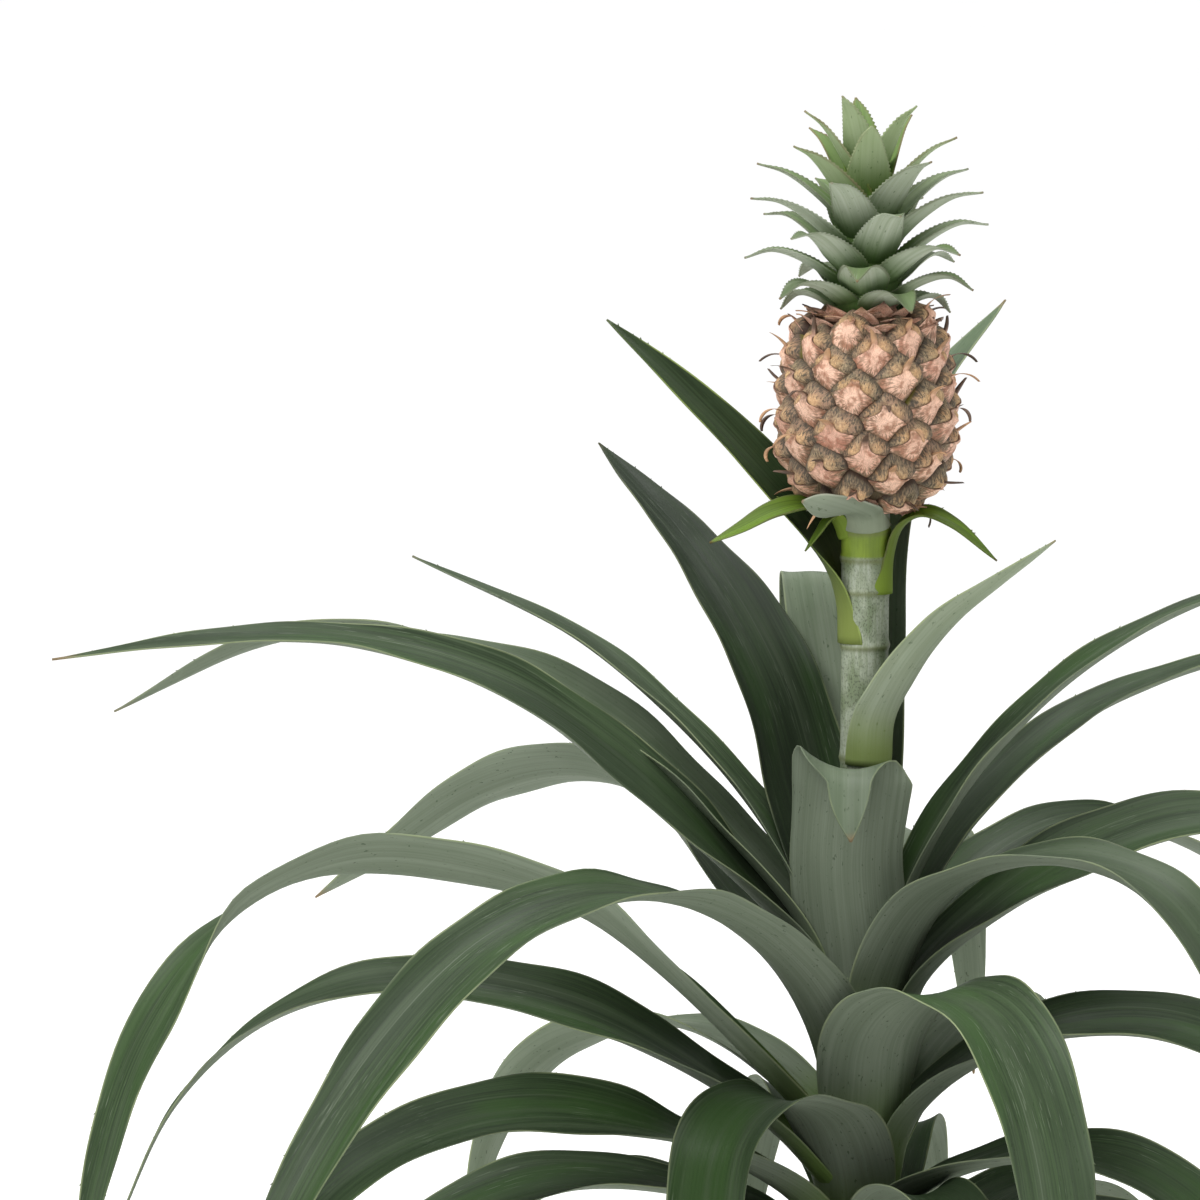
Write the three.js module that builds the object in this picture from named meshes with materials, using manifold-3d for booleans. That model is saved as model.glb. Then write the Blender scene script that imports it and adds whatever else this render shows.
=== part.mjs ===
// Potted pineapple plant: a rosette of long channelled leaves on a short stem, a flower stalk that
// carries a small fruit with its leafy crown, and a plain round pot filled with soil.
// Millimetres, +Z up. The origin is the middle of the pot's underside; -Y is the plant's front.
import * as THREE from "three";
import { mergeVertices } from "three/addons/utils/BufferGeometryUtils.js";
import Module from "manifold-3d";

const wasm = await Module();
wasm.setup();
const { Manifold, Mesh: SolidMesh } = wasm;

// ---------------------------------------------------------------- driving dimensions
const GAP = 0.3; // clearance between pieces that touch
const SLIVER = 0.15; // detail finer than this is merged away once a piece is trimmed
const ROUGH_SLIVER = 0.8; // the same for the fruit's fused eyes, before it is trimmed
const GOLDEN_ANGLE = THREE.MathUtils.degToRad(137.508); // turn from one eye or leaflet to the next

const POT = { height: 118, topRadius: 66, baseRadius: 49, wall: 4.5, floor: 6, rimDepth: 16, rimProud: 3 };
const SOIL = { top: 104, mound: 5, grain: 1.6, holeDepth: 30 };
const STEM = { bottom: SOIL.top - SOIL.holeDepth + 2, radius: 12, shoulder: 285, stalkRadius: 9.6 };
const FRUIT = { bottom: 465, top: 545, coreRadius: 31.5, eyes: 64, eyeRise: 6 };

// The sides of one eye, each as [direction in degrees, distance from its middle]: where it meets
// its six neighbours on the spiral.
const EYE_SIDES = [[16, 9.6], [64, 8.1], [142, 7.3], [196, 9.6], [244, 8.1], [322, 7.3]];

const CROWN = { bottom: FRUIT.top + GAP, coreHeight: 58, coreRadius: 13, leaflets: 34, reach: 49 };

const BLADE = { stations: 8, thick: 2.0, edgeThick: 0.9, baseWrap: 62, midCurl: 36, tipCurl: 20 };

// Rosette leaves. az: compass angle in degrees, 0 to the right, 90 to the back. width: across the
// blade, flat. line: the midrib as [distance from the axis, height], with a third value for a
// sideways offset. twist: the roll about the midrib as [share of the length, degrees].
// curl: half of the angle that the channelled blade turns through from edge to edge. clasp: how
// many times wider the blade is where it grips the stem, grip: over which share of its length.
const LEAVES = [
  { name: "leaf_01_front_sheath", az: -106, width: 54, curl: 56, outline: "folded",
    line: [
      [13, 262], [16, 285, -2], [21, 325, -5], [25, 352, -2], [30, 365, 1], [36, 364, 3],
      [41, 352, 4], [43, 339, 5],
    ] },
  { name: "leaf_02_back_fold", az: 96, width: 30, curl: 12,
    line: [
      [13, 285], [30, 318, 1], [54, 352, 3], [76, 393, 6], [89, 419, 9], [100, 429, 10],
      [111, 420, 10], [119, 390, 10], [123, 345, 10],
    ] },
  { name: "leaf_03_behind_fruit", az: 64, width: 25,
    line: [[13, 288], [15, 340], [19, 400], [28, 460], [66, 506], [148, 541]] },
  { name: "leaf_04_tall_left", az: 122, width: 50,
    line: [[13, 268], [22, 306], [42, 344], [64, 384], [92, 413], [133, 442], [201, 477]] },
  { name: "leaf_05_narrow_left", az: 160, width: 30,
    line: [[13, 258], [20, 286], [30, 319], [52, 350], [85, 382], [125, 411], [195, 440]] },
  { name: "leaf_06_thin_right", az: 8, width: 32,
    line: [[13, 270], [18, 308], [40, 351], [81, 394], [126, 421], [175, 437], [235, 445]] },
  { name: "leaf_07_right_arch", az: 30, width: 34,
    line: [[13, 260], [21, 298], [45, 332], [94, 369], [129, 383], [190, 394], [262, 380]] },
  { name: "leaf_08_long_left", az: 184, width: 42, twist: [[0.1, 0], [0.4, -28], [0.8, -14], [1, -10]],
    line: [
      [13, 240], [25, 285], [59, 326], [101, 366], [146, 397], [206, 415], [265, 416], [324, 409],
    ] },
  { name: "leaf_09_left_back", az: 166, width: 40, twist: [[0.2, 0], [0.5, -12], [0.75, 25]],
    line: [
      [13, 253], [22, 291], [60, 338], [104, 376], [150, 399], [205, 410], [250, 406], [317, 374],
    ] },
  { name: "leaf_10_back_left", az: 140, width: 42, twist: [[0.2, 0], [0.5, 38], [1, 30]],
    line: [
      [13, 242], [26, 273], [62, 301], [97, 328], [131, 344], [165, 344], [208, 330], [255, 302],
      [301, 275],
    ] },
  { name: "leaf_11_back_right_fold", az: 72, width: 34,
    line: [[13, 246], [36, 280], [75, 306], [110, 316], [148, 298], [172, 256], [185, 200]] },
  { name: "leaf_12_right_back", az: 44, width: 40, twist: [[0.2, 0], [0.5, 12], [1, 12]],
    line: [[13, 246], [42, 290], [84, 315], [132, 324], [182, 314], [245, 282], [290, 236]] },
  { name: "leaf_13_right_front", az: -38, width: 50,
    line: [
      [13, 238], [20, 281, -3], [37, 311], [68, 328], [106, 333], [140, 324], [172, 289],
      [200, 238], [220, 176],
    ] },
  { name: "leaf_14_dark_right", az: 2, width: 46, twist: [[0.1, 0], [0.4, 22], [1, 14]],
    line: [
      [13, 234], [24, 274], [56, 305], [92, 326], [136, 339], [180, 332], [225, 301], [262, 254],
    ] },
  { name: "leaf_15_twisted_left", az: 188, width: 39,
    twist: [[0.15, 0], [0.45, 40], [0.58, 20], [0.72, -45], [1, -50]],
    line: [
      [13, 207], [34, 231], [83, 281], [118, 308], [163, 323], [207, 327], [248, 312], [287, 263],
      [308, 205], [320, 135],
    ] },
  { name: "leaf_16_wide_front_left", az: 222, width: 48, twist: [[0.3, 0], [0.6, -14], [1, -14]],
    line: [
      [13, 200], [17, 242], [35, 276], [66, 303], [105, 320], [150, 325], [199, 314], [249, 281],
      [300, 223], [335, 149],
    ] },
  { name: "leaf_17_front_right", az: -64, width: 54, curl: 28,
    line: [
      [13, 198], [18, 232, -3], [26, 257, -4], [43, 274], [75, 281], [108, 275], [130, 257],
      [148, 227], [158, 183], [164, 119],
    ] },
  { name: "leaf_18_left_low_arch", az: 176, width: 42, twist: [[0.15, 0], [0.4, -24], [0.8, 0]],
    line: [
      [13, 188], [37, 214], [80, 243], [116, 260], [163, 270], [205, 269], [245, 253], [280, 219],
      [306, 166],
    ] },
  { name: "leaf_19_pale_back", az: 142, width: 36, twist: [[0.2, 0], [0.6, 30], [1, 30]],
    line: [
      [13, 210], [60, 239], [92, 245], [125, 240], [159, 226], [180, 207], [196, 178], [208, 137],
    ] },
  { name: "leaf_20_right_low_arch", az: -8, width: 46, twist: [[0.15, 0], [0.45, 20], [1, 12]],
    line: [
      [13, 185], [22, 220], [60, 250], [108, 260], [145, 252], [185, 223], [218, 176], [236, 126],
    ] },
  { name: "leaf_21_back_middle", az: 86, width: 40,
    line: [[13, 196], [45, 240], [92, 262], [140, 252], [185, 206], [205, 142]] },
  { name: "leaf_22_back_right_low", az: 52, width: 38,
    line: [[13, 194], [42, 232], [78, 249], [104, 250], [122, 230], [132, 192], [136, 142]] },
  { name: "leaf_23_bottom_front_left", az: 238, width: 50, curl: 28,
    line: [
      [13, 168], [18, 201], [32, 223], [60, 236], [90, 239], [112, 228], [121, 200], [124, 162],
      [124, 108],
    ] },
  { name: "leaf_24_low_left", az: 200, width: 46, twist: [[0.15, 0], [0.4, -24], [1, -18]],
    line: [
      [13, 168], [36, 192], [85, 218], [134, 230], [175, 228], [217, 211], [252, 174], [275, 123],
    ] },
  { name: "leaf_25_back_left_low", az: 105, width: 40,
    line: [[13, 168], [45, 198], [88, 212], [128, 198], [158, 160], [170, 105]] },
  { name: "leaf_26_right_bottom", az: -30, width: 44, twist: [[0.2, 0], [0.5, 14]],
    line: [[13, 156], [20, 184], [58, 206], [106, 213], [140, 202], [175, 168], [200, 112]] },
  { name: "leaf_27_front_bottom", az: -66, width: 42,
    line: [[13, 142], [20, 174], [42, 194], [68, 198], [95, 183], [112, 150], [122, 102]] },
  { name: "leaf_28_right_mid_low", az: 16, width: 40,
    line: [[13, 138], [46, 160], [98, 171], [150, 158], [194, 122], [216, 72]] },
  { name: "leaf_29_left_bottom", az: 188, width: 44, twist: [[0.2, 0], [0.5, -18]],
    line: [[13, 150], [42, 178], [99, 195], [140, 193], [184, 172], [216, 135], [234, 88]] },
  { name: "leaf_30_back_low", az: 78, width: 40,
    line: [[13, 140], [45, 178], [90, 195], [136, 179], [168, 136], [180, 80]] },
  { name: "leaf_31_left_back_low", az: 158, width: 40,
    line: [[13, 126], [52, 166], [105, 186], [158, 162], [196, 116], [212, 62]] },
  { name: "leaf_32_right_low", az: 40, width: 38,
    line: [[13, 122], [48, 160], [98, 176], [150, 157], [186, 112], [202, 58]] },
  { name: "leaf_33_front_left_low", az: 226, width: 40,
    line: [[13, 119], [44, 156], [92, 171], [138, 150], [170, 105], [186, 52]] },
  { name: "leaf_34_front_right_low", az: -40, width: 38,
    line: [[13, 115], [42, 148], [86, 162], [128, 144], [158, 100], [172, 48]] },
];

// Narrow leaves that the flower stalk carries, and the small ones right under the fruit.
const STALK_LEAVES = [
  { name: "stalk_leaf_left", az: 163, width: 30, wrap: 100, clasp: 1.5, grip: 0.1,
    twist: [[0.1, 0], [0.4, -26]],
    line: [[10.4, 413], [11, 428], [15, 443], [24, 459], [49, 487], [85, 521], [108, 540]] },
  { name: "stalk_leaf_right", az: -42, width: 32, wrap: 96, clasp: 1.4,
    line: [[10.4, 364], [12, 384], [24, 404], [43, 424], [66, 441], [95, 461]] },
  { name: "bract_left", az: 196, width: 16, wrap: 70, curl: 40, twist: [[0.15, 0], [0.5, -22]],
    line: [[10.4, 455], [14, 463], [24, 468], [38, 466], [52, 460], [65, 455]] },
  { name: "bract_right", az: -12, width: 14, wrap: 85, curl: 40, clasp: 2.3,
    twist: [[0.3, 0], [0.6, 22]],
    line: [[10.4, 433], [11, 448], [15, 460], [23, 465], [35, 461], [53, 447]] },
  { name: "bract_front", az: 262, width: 18, wrap: 85, clasp: 1.7, outline: "blunt",
    twist: [[0.25, 0], [0.7, 36]],
    line: [
      [10.4, 458], [12.2, 463], [17, 466, -0.6], [25, 468, -5], [31, 470, -12], [35, 473, -22],
    ] },
  { name: "bract_small", az: 205, width: 7.5,
    line: [[10.4, 459], [12.5, 464], [16, 463], [21, 457.5], [27, 451]] },
];

const COLOURS = {
  leaf: [0x3c5a3a, 0.55],
  stalkLeaf: [0x7d9668, 0.6],
  stalk: [0x93a48b, 0.7],
  fruit: [0xc39078, 0.75],
  crown: [0x6f8b6a, 0.65],
  pot: [0xd9d4ca, 0.8],
  soil: [0x3a2b20, 0.95],
};

// ---------------------------------------------------------------- solids and meshes
function solidFrom(positions, indices) {
  const geometry = new THREE.BufferGeometry();
  geometry.setAttribute("position", new THREE.Float32BufferAttribute(positions, 3));
  geometry.setIndex(indices);
  return solidOfGeometry(geometry);
}

function solidOfGeometry(geometry) {
  const bare = geometry.clone();
  bare.deleteAttribute("normal");
  bare.deleteAttribute("uv");
  const merged = mergeVertices(bare, 1e-4);
  return new Manifold(new SolidMesh({
    numProp: 3,
    vertProperties: merged.attributes.position.array,
    triVerts: new Uint32Array(merged.index.array),
  }));
}

function largestBody(solid) {
  const bodies = solid.decompose();
  return bodies.reduce((best, body) => (body.volume() > best.volume() ? body : best));
}

// The largest body, with detail finer than the tolerance merged away.
function tidied(solid, tolerance) {
  return largestBody(largestBody(solid).simplify(tolerance));
}

function namedMesh(name, solid, [color, roughness]) {
  const mesh = solid.getMesh();
  const geometry = new THREE.BufferGeometry();
  geometry.setAttribute("position", new THREE.Float32BufferAttribute(mesh.vertProperties, 3));
  geometry.setIndex([...mesh.triVerts]);
  geometry.computeVertexNormals();
  const material = new THREE.MeshStandardMaterial({ color, roughness, metalness: 0 });
  const made = new THREE.Mesh(geometry, material);
  made.name = name;
  return made;
}

const lerp = THREE.MathUtils.lerp;
const smooth = THREE.MathUtils.smoothstep;
const radians = THREE.MathUtils.degToRad;

// ---------------------------------------------------------------- blades
// Half width along a blade as a share of its greatest, t running from the stem (0) to the tip (1).
const OUTLINES = {
  long: (t) => lerp(0.78, 1, smooth(t, 0, 0.2)) * Math.pow(Math.max(0, 1 - Math.pow(t, 2.4)), 0.9),
  blunt: (t) => lerp(1, 0.6, smooth(t, 0.2, 0.9))
    * Math.sqrt(Math.max(0, 1 - Math.pow(smooth(t, 0.7, 1), 1.6))),
  folded: (t) => lerp(0.78, 1, smooth(t, 0, 0.3)) * lerp(1, 0.34, smooth(t, 0.72, 0.84))
    * Math.sqrt(Math.max(0, 1 - Math.pow(smooth(t, 0.8, 1), 1.3))),
  leaflet: (t) => lerp(0.8, 1, smooth(t, 0, 0.3)) * Math.pow(1 - Math.pow(t, 1.6), 0.95),
};

// The roll at t, eased between the listed pairs of [share of the length, degrees].
function rollAt(pairs, t) {
  if (pairs.length === 0 || t <= pairs[0][0]) return 0;
  for (let i = 1; i < pairs.length; i += 1) {
    const [start, before] = pairs[i - 1];
    const [end, after] = pairs[i];
    if (t <= end) return lerp(before, after, smooth(t, start, end));
  }
  return pairs[pairs.length - 1][1];
}

function midribPoint([reach, height, aside = 0], azimuth) {
  return new THREE.Vector3(
    reach * Math.cos(azimuth) - aside * Math.sin(azimuth),
    reach * Math.sin(azimuth) + aside * Math.cos(azimuth),
    height,
  );
}

// A blade with a curved cross-section: a row of points across the upper face and one across the
// lower face at each station. grow makes the same blade fatter all round, to cut clearances.
function bladeSolid(leaf, grow = 0) {
  const azimuth = radians(leaf.az);
  const midrib = leaf.line.map((p) => midribPoint(p, azimuth));
  const curve = new THREE.CatmullRomCurve3(midrib, false, "centripetal");
  const stations = leaf.stations ?? BLADE.stations;
  const outline = OUTLINES[leaf.outline ?? "long"];
  const across = leaf.across ?? [-1, -0.36, 0.36, 1];
  const positions = [];
  for (let i = 0; i <= stations; i += 1) {
    const t = i / stations;
    const centre = curve.getPointAt(t);
    const along = curve.getTangentAt(t);
    const side = new THREE.Vector3(-Math.sin(azimuth), Math.cos(azimuth), 0);
    side.addScaledVector(along, -side.dot(along)).normalize();
    const up = new THREE.Vector3().crossVectors(along, side);
    const roll = radians(rollAt(leaf.twist ?? [], t));
    side.applyAxisAngle(along, roll);
    up.applyAxisAngle(along, roll);
    const clasp = lerp(leaf.clasp ?? 1, 1, smooth(t, 0, leaf.grip ?? 0.16));
    const half = Math.max(0.5, (leaf.width / 2) * outline(t) * clasp) + grow;
    const curl = lerp(leaf.wrap ?? BLADE.baseWrap, leaf.curl ?? BLADE.midCurl, smooth(t, 0, 0.25));
    const span = radians(lerp(curl, Math.min(curl, BLADE.tipCurl), smooth(t, 0.5, 1)));
    const bend = half / span;
    const thick = (leaf.thick ?? BLADE.thick) * lerp(1, 0.5, t);
    for (const [face, sign] of [[0, 1], [1, -1]]) {
      for (const u of across) {
        const angle = u * span;
        const skin = sign * (lerp(thick, BLADE.edgeThick, Math.abs(u)) / 2 + grow);
        const radius = bend - skin;
        positions.push(
          ...centre.clone()
            .addScaledVector(side, radius * Math.sin(angle))
            .addScaledVector(up, bend - radius * Math.cos(angle)),
        );
      }
    }
  }
  const indices = [];
  const n = across.length;
  const quad = (a, b, c, d) => indices.push(a, b, c, a, c, d);
  for (let i = 0; i < stations; i += 1) {
    const here = i * 2 * n;
    const next = here + 2 * n;
    for (let j = 0; j < n - 1; j += 1) {
      quad(here + j, next + j, next + j + 1, here + j + 1);
      quad(here + n + j, here + n + 1 + j, next + n + 1 + j, next + n + j);
    }
    quad(here, here + n, next + n, next);
    quad(here + n - 1, next + n - 1, next + 2 * n - 1, here + 2 * n - 1);
  }
  const last = stations * 2 * n;
  for (let j = 0; j < n - 1; j += 1) {
    quad(j, j + 1, j + 1 + n, j + n);
    quad(last + j, last + n + j, last + n + 1 + j, last + j + 1);
  }
  return solidFrom(positions, indices);
}

// ---------------------------------------------------------------- pot and soil
function potSolid() {
  const { height, topRadius, baseRadius, wall, floor, rimDepth, rimProud } = POT;
  const slope = (z) => lerp(baseRadius, topRadius - rimProud, z / (height - rimDepth));
  const profile = [
    [0, 0], [baseRadius - 2, 0], [baseRadius, 2], [slope(height - rimDepth), height - rimDepth],
    [topRadius, height - rimDepth + 1.5], [topRadius, height - 1.5], [topRadius - 1.5, height],
    [topRadius - wall, height], [topRadius - wall - rimProud + 1, height - rimDepth],
    [baseRadius - wall, floor], [0, floor],
  ];
  const lathe = new THREE.LatheGeometry(profile.map(([r, z]) => new THREE.Vector2(r, z)), 28);
  return solidOfGeometry(lathe.rotateX(Math.PI / 2));
}

// The soil fills the pot, with a plain hole for the stem and a crumbly top raised by a formula.
function soilSolid() {
  const sides = 20;
  const rings = 4;
  const innerTop = POT.topRadius - POT.wall - POT.rimProud + 1;
  const innerBase = POT.baseRadius - POT.wall;
  const wallShare = (z) => (z - POT.floor) / (POT.height - POT.rimDepth - POT.floor);
  const wallRadius = (z) => lerp(innerBase, innerTop, wallShare(z)) - GAP;
  const bottom = POT.floor + GAP;
  const topRadius = Math.min(wallRadius(SOIL.top), innerTop - GAP);
  const holeRadius = STEM.radius + GAP;
  const positions = [];
  const rowOf = (radius, height) => {
    for (let k = 0; k < sides; k += 1) {
      const angle = (k / sides) * 2 * Math.PI;
      positions.push(radius * Math.cos(angle), radius * Math.sin(angle), height(angle));
    }
  };
  const crumb = (r, a) => Math.sin(r * 1.9 + 5 * Math.sin(3 * a)) * Math.cos(11 * a + r * 0.7);
  rowOf(holeRadius, () => SOIL.top - SOIL.holeDepth);
  for (let i = 0; i <= rings; i += 1) {
    const radius = lerp(holeRadius, topRadius, i / rings);
    const lift = SOIL.mound * (1 - smooth(i / rings, 0, 1));
    const rough = i === 0 || i === rings ? 0 : SOIL.grain;
    rowOf(radius, (a) => SOIL.top + lift + rough * crumb(radius, a));
  }
  rowOf(wallRadius(bottom), () => bottom);
  const rows = rings + 3;
  const indices = [];
  for (let i = 0; i < rows - 1; i += 1) {
    for (let k = 0; k < sides; k += 1) {
      const a = i * sides + k;
      const b = i * sides + ((k + 1) % sides);
      indices.push(a, a + sides, b + sides, a, b + sides, b);
    }
  }
  const cap = (row, height, flip) => {
    const middle = positions.length / 3;
    positions.push(0, 0, height);
    for (let k = 0; k < sides; k += 1) {
      const a = row * sides + k;
      const b = row * sides + ((k + 1) % sides);
      indices.push(...(flip ? [middle, b, a] : [middle, a, b]));
    }
  };
  cap(0, SOIL.top - SOIL.holeDepth, false);
  cap(rows - 1, bottom, true);
  return solidFrom(positions, indices);
}

// ---------------------------------------------------------------- stem and flower stalk
// One woody axis: the thick leafy stem, then the slimmer stalk with a raised ring at each node.
const STALK_NODES = [367, 412, 434, 447, 458];

function stemSolid(grow = 0) {
  const { bottom, radius, shoulder, stalkRadius } = STEM;
  const top = FRUIT.bottom - GAP;
  const profile = [[0, bottom - grow], [radius - 2 + grow, bottom - grow], [radius + grow, bottom + 3],
    [radius + grow, shoulder - 45], [stalkRadius + 0.6 + grow, shoulder]];
  for (const node of STALK_NODES) {
    profile.push([stalkRadius + grow, node - 2], [stalkRadius + 0.7 + grow, node]);
  }
  profile.push([stalkRadius + grow, top + grow], [0, top + grow]);
  const lathe = new THREE.LatheGeometry(profile.map(([r, z]) => new THREE.Vector2(r, z)), 12);
  return solidOfGeometry(lathe.rotateX(Math.PI / 2));
}

// ---------------------------------------------------------------- fruit
// Radius of the fruit's flesh at a share q of its height: a barrel, drawn in more at the bottom.
function fruitRadius(q) {
  const low = Math.pow(Math.max(0, 1 - Math.pow(1 - Math.min(q / 0.42, 1), 2.3)), 0.55);
  const high = Math.pow(Math.max(0, 1 - Math.pow(Math.max(0, (q - 0.42) / 0.7), 2.6)), 0.5);
  return FRUIT.coreRadius * Math.min(low, 1) * high;
}

function fruitCore() {
  const steps = 5;
  const profile = [[0, FRUIT.bottom]];
  for (let i = 0; i <= steps; i += 1) {
    const q = lerp(0.03, 0.995, i / steps);
    profile.push([Math.max(fruitRadius(q), 9), lerp(FRUIT.bottom, FRUIT.top, q)]);
  }
  profile[1][1] = FRUIT.bottom;
  profile.push([fruitRadius(0.995) * 0.7, FRUIT.top], [0, FRUIT.top]);
  const lathe = new THREE.LatheGeometry(profile.map(([r, z]) => new THREE.Vector2(r, z)), 12);
  return solidOfGeometry(lathe.rotateX(Math.PI / 2));
}

// The corners of an eye, where its neighbouring sides cross.
const EYE_CORNERS = EYE_SIDES.map(([direction, distance], i) => {
  const [nextDirection, nextDistance] = EYE_SIDES[(i + 1) % EYE_SIDES.length];
  const a = radians(direction);
  const b = radians(nextDirection);
  const cross = Math.sin(b - a);
  return [
    (distance * Math.sin(b) - nextDistance * Math.sin(a)) / cross,
    (nextDistance * Math.cos(a) - distance * Math.cos(b)) / cross,
  ];
});

// One eye: a six-sided dome whose bract ends in a spine. Eyes wind round the fruit on a spiral.
function eyeSolid(index) {
  const q = lerp(0.05, 0.95, (index + 0.5) / FRUIT.eyes);
  const angle = -index * GOLDEN_ANGLE;
  const radius = fruitRadius(q);
  const flare = fruitRadius(q + 0.03) - fruitRadius(q - 0.03);
  const tilt = Math.atan2(flare, 0.06 * (FRUIT.top - FRUIT.bottom));
  const level = new THREE.Vector3(Math.cos(angle), Math.sin(angle), 0);
  const out = level.clone().multiplyScalar(Math.cos(tilt)).setZ(-Math.sin(tilt));
  const side = new THREE.Vector3(-Math.sin(angle), Math.cos(angle), 0);
  const up = new THREE.Vector3().crossVectors(out, side);
  const centre = level.clone().multiplyScalar(radius).setZ(lerp(FRUIT.bottom, FRUIT.top, q));
  const narrow = Math.min(1, (radius + 4) / (FRUIT.coreRadius + 4));
  const at = (x, y, height) => centre.clone()
    .addScaledVector(side, x * narrow)
    .addScaledVector(up, y)
    .addScaledVector(out, height);
  const ring = (scale, height) => EYE_CORNERS.map(([x, y]) => at(x * scale, y * scale, height));
  const points = [...ring(0.92, -3), ...ring(0.74, FRUIT.eyeRise * 0.7), at(0, 0.4, FRUIT.eyeRise)];
  const indices = [];
  for (let k = 0; k < 6; k += 1) {
    const n = (k + 1) % 6;
    indices.push(k, n, 6 + n, k, 6 + n, 6 + k, 6 + k, 6 + n, 12);
    if (k > 0 && k < 5) indices.push(0, k + 1, k);
  }
  const dome = solidFrom(points.flatMap((p) => [p.x, p.y, p.z]), indices);
  return Manifold.union([dome, spineSolid(at, index)]);
}

// The bract's spine: a three-sided point that stands out of the eye and leans upwards.
function spineSolid(at, index) {
  const length = 1 + 0.35 * Math.sin(index * 2.4);
  const corners = [at(2.4, -3, 3), at(-2.4, -3, 3), at(0, 2.2, 3), at(0, 5.6 * length, 6 + 3.6 * length)];
  return solidFrom(corners.flatMap((p) => [p.x, p.y, p.z]), [0, 1, 2, 0, 3, 1, 1, 3, 2, 2, 3, 0]);
}

// ---------------------------------------------------------------- crown
function crownLeaflet(index) {
  const q = index / (CROWN.leaflets - 1);
  const base = CROWN.bottom + lerp(0, CROWN.coreHeight - 6, Math.pow(q, 1.1));
  const core = lerp(CROWN.coreRadius, 3, smooth(q, 0.35, 1));
  const reach = CROWN.reach * lerp(lerp(0.74, 1, smooth(q, 0, 0.3)), 0.4, smooth(q, 0.55, 1.05));
  const rise = lerp(lerp(-1, 22, smooth(q, 0, 0.6)), 34, smooth(q, 0.5, 1));
  const arch = lerp(6, 1, smooth(q, 0, 0.8));
  return {
    az: THREE.MathUtils.radToDeg(index * GOLDEN_ANGLE) + 20,
    width: lerp(24, 21, q),
    wrap: 46,
    curl: 32,
    thick: 1.8,
    stations: 3,
    across: [-1, 0, 1],
    outline: "leaflet",
    line: [
      [core - 3, base - 3],
      [lerp(core, reach, 0.3), base + lerp(0, rise, 0.42) + arch * 0.7],
      [lerp(core, reach, 0.68), base + lerp(0, rise, 0.8) + arch],
      [reach, base + rise],
    ],
  };
}

function crownCore(grow = 0) {
  const { bottom, coreHeight, coreRadius } = CROWN;
  const top = bottom + coreHeight;
  const profile = [[0, bottom - grow], [coreRadius - 1 + grow, bottom - grow],
    [coreRadius + grow, bottom + 3], [coreRadius - 1.5 + grow, lerp(bottom, top, 0.4)],
    [4 + grow, top], [0, top + grow]];
  const lathe = new THREE.LatheGeometry(profile.map(([r, z]) => new THREE.Vector2(r, z)), 12);
  return solidOfGeometry(lathe.rotateX(Math.PI / 2));
}

function crownSolid(grow = 0) {
  const leaflets = Array.from({ length: CROWN.leaflets }, (_, i) => bladeSolid(crownLeaflet(i), grow));
  return Manifold.union([crownCore(grow), ...leaflets]);
}

// ---------------------------------------------------------------- assembly
const plant = new THREE.Group();
plant.add(namedMesh("pot", potSolid(), COLOURS.pot));
plant.add(namedMesh("soil", soilSolid(), COLOURS.soil));
plant.add(namedMesh("stem", stemSolid(), COLOURS.stalk));

// Each leaf is trimmed back, with a clearance, from the stem and from the leaves above it.
const taken = [stemSolid(GAP)];
function addLeaf(leaf, colour) {
  const whole = bladeSolid(leaf);
  const trimmed = tidied(whole.subtract(Manifold.union(taken)), SLIVER);
  if (trimmed.volume() < 0.9 * whole.volume()) {
    console.log(`${leaf.name} keeps ${(100 * trimmed.volume() / whole.volume()).toFixed(1)}% of its blade`);
  }
  taken.push(bladeSolid(leaf, GAP));
  plant.add(namedMesh(leaf.name, trimmed, colour));
}
STALK_LEAVES.forEach((leaf) => addLeaf({ stations: 5, thick: 1.6, ...leaf }, COLOURS.stalkLeaf));
LEAVES.forEach((leaf) => addLeaf(leaf, COLOURS.leaf));

const crown = crownSolid().subtract(Manifold.union(taken));
plant.add(namedMesh("crown", tidied(crown, 2 * SLIVER), COLOURS.crown));

const eyes = Array.from({ length: FRUIT.eyes }, (_, i) => eyeSolid(i));
const whole = Manifold.union([fruitCore(), ...eyes]).simplify(ROUGH_SLIVER);
const fruit = whole.subtract(Manifold.union([crownSolid(GAP), ...taken]));
plant.add(namedMesh("fruit", tidied(fruit, SLIVER), COLOURS.fruit));

export default plant;
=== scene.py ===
"""Looks of the potted pineapple plant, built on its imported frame.

Lengths are in millimetres until a mesh is made. +Z is up and -Y is the plant's front. Each piece is
a finer form of the solid that it stands for, and its procedural material reads the piece's own
surface coordinates.
"""
import math

import bmesh
import bpy
import numpy as np
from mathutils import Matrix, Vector


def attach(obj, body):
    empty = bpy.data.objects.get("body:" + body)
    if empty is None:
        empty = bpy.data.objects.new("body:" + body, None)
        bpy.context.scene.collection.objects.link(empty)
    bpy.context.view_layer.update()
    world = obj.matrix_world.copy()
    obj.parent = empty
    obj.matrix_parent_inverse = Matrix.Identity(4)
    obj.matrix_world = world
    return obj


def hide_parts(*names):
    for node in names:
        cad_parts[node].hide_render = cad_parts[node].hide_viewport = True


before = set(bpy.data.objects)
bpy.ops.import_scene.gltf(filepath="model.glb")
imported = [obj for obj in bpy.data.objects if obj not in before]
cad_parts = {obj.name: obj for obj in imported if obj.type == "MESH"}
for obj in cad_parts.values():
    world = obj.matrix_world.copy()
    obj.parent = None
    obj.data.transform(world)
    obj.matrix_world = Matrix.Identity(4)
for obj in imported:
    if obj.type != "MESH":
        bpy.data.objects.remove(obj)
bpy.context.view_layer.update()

MM = 0.001
FULL_TURN = 2 * math.pi
GOLDEN_ANGLE = math.radians(137.508)
UP = np.array([0, 0, 1])

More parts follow.
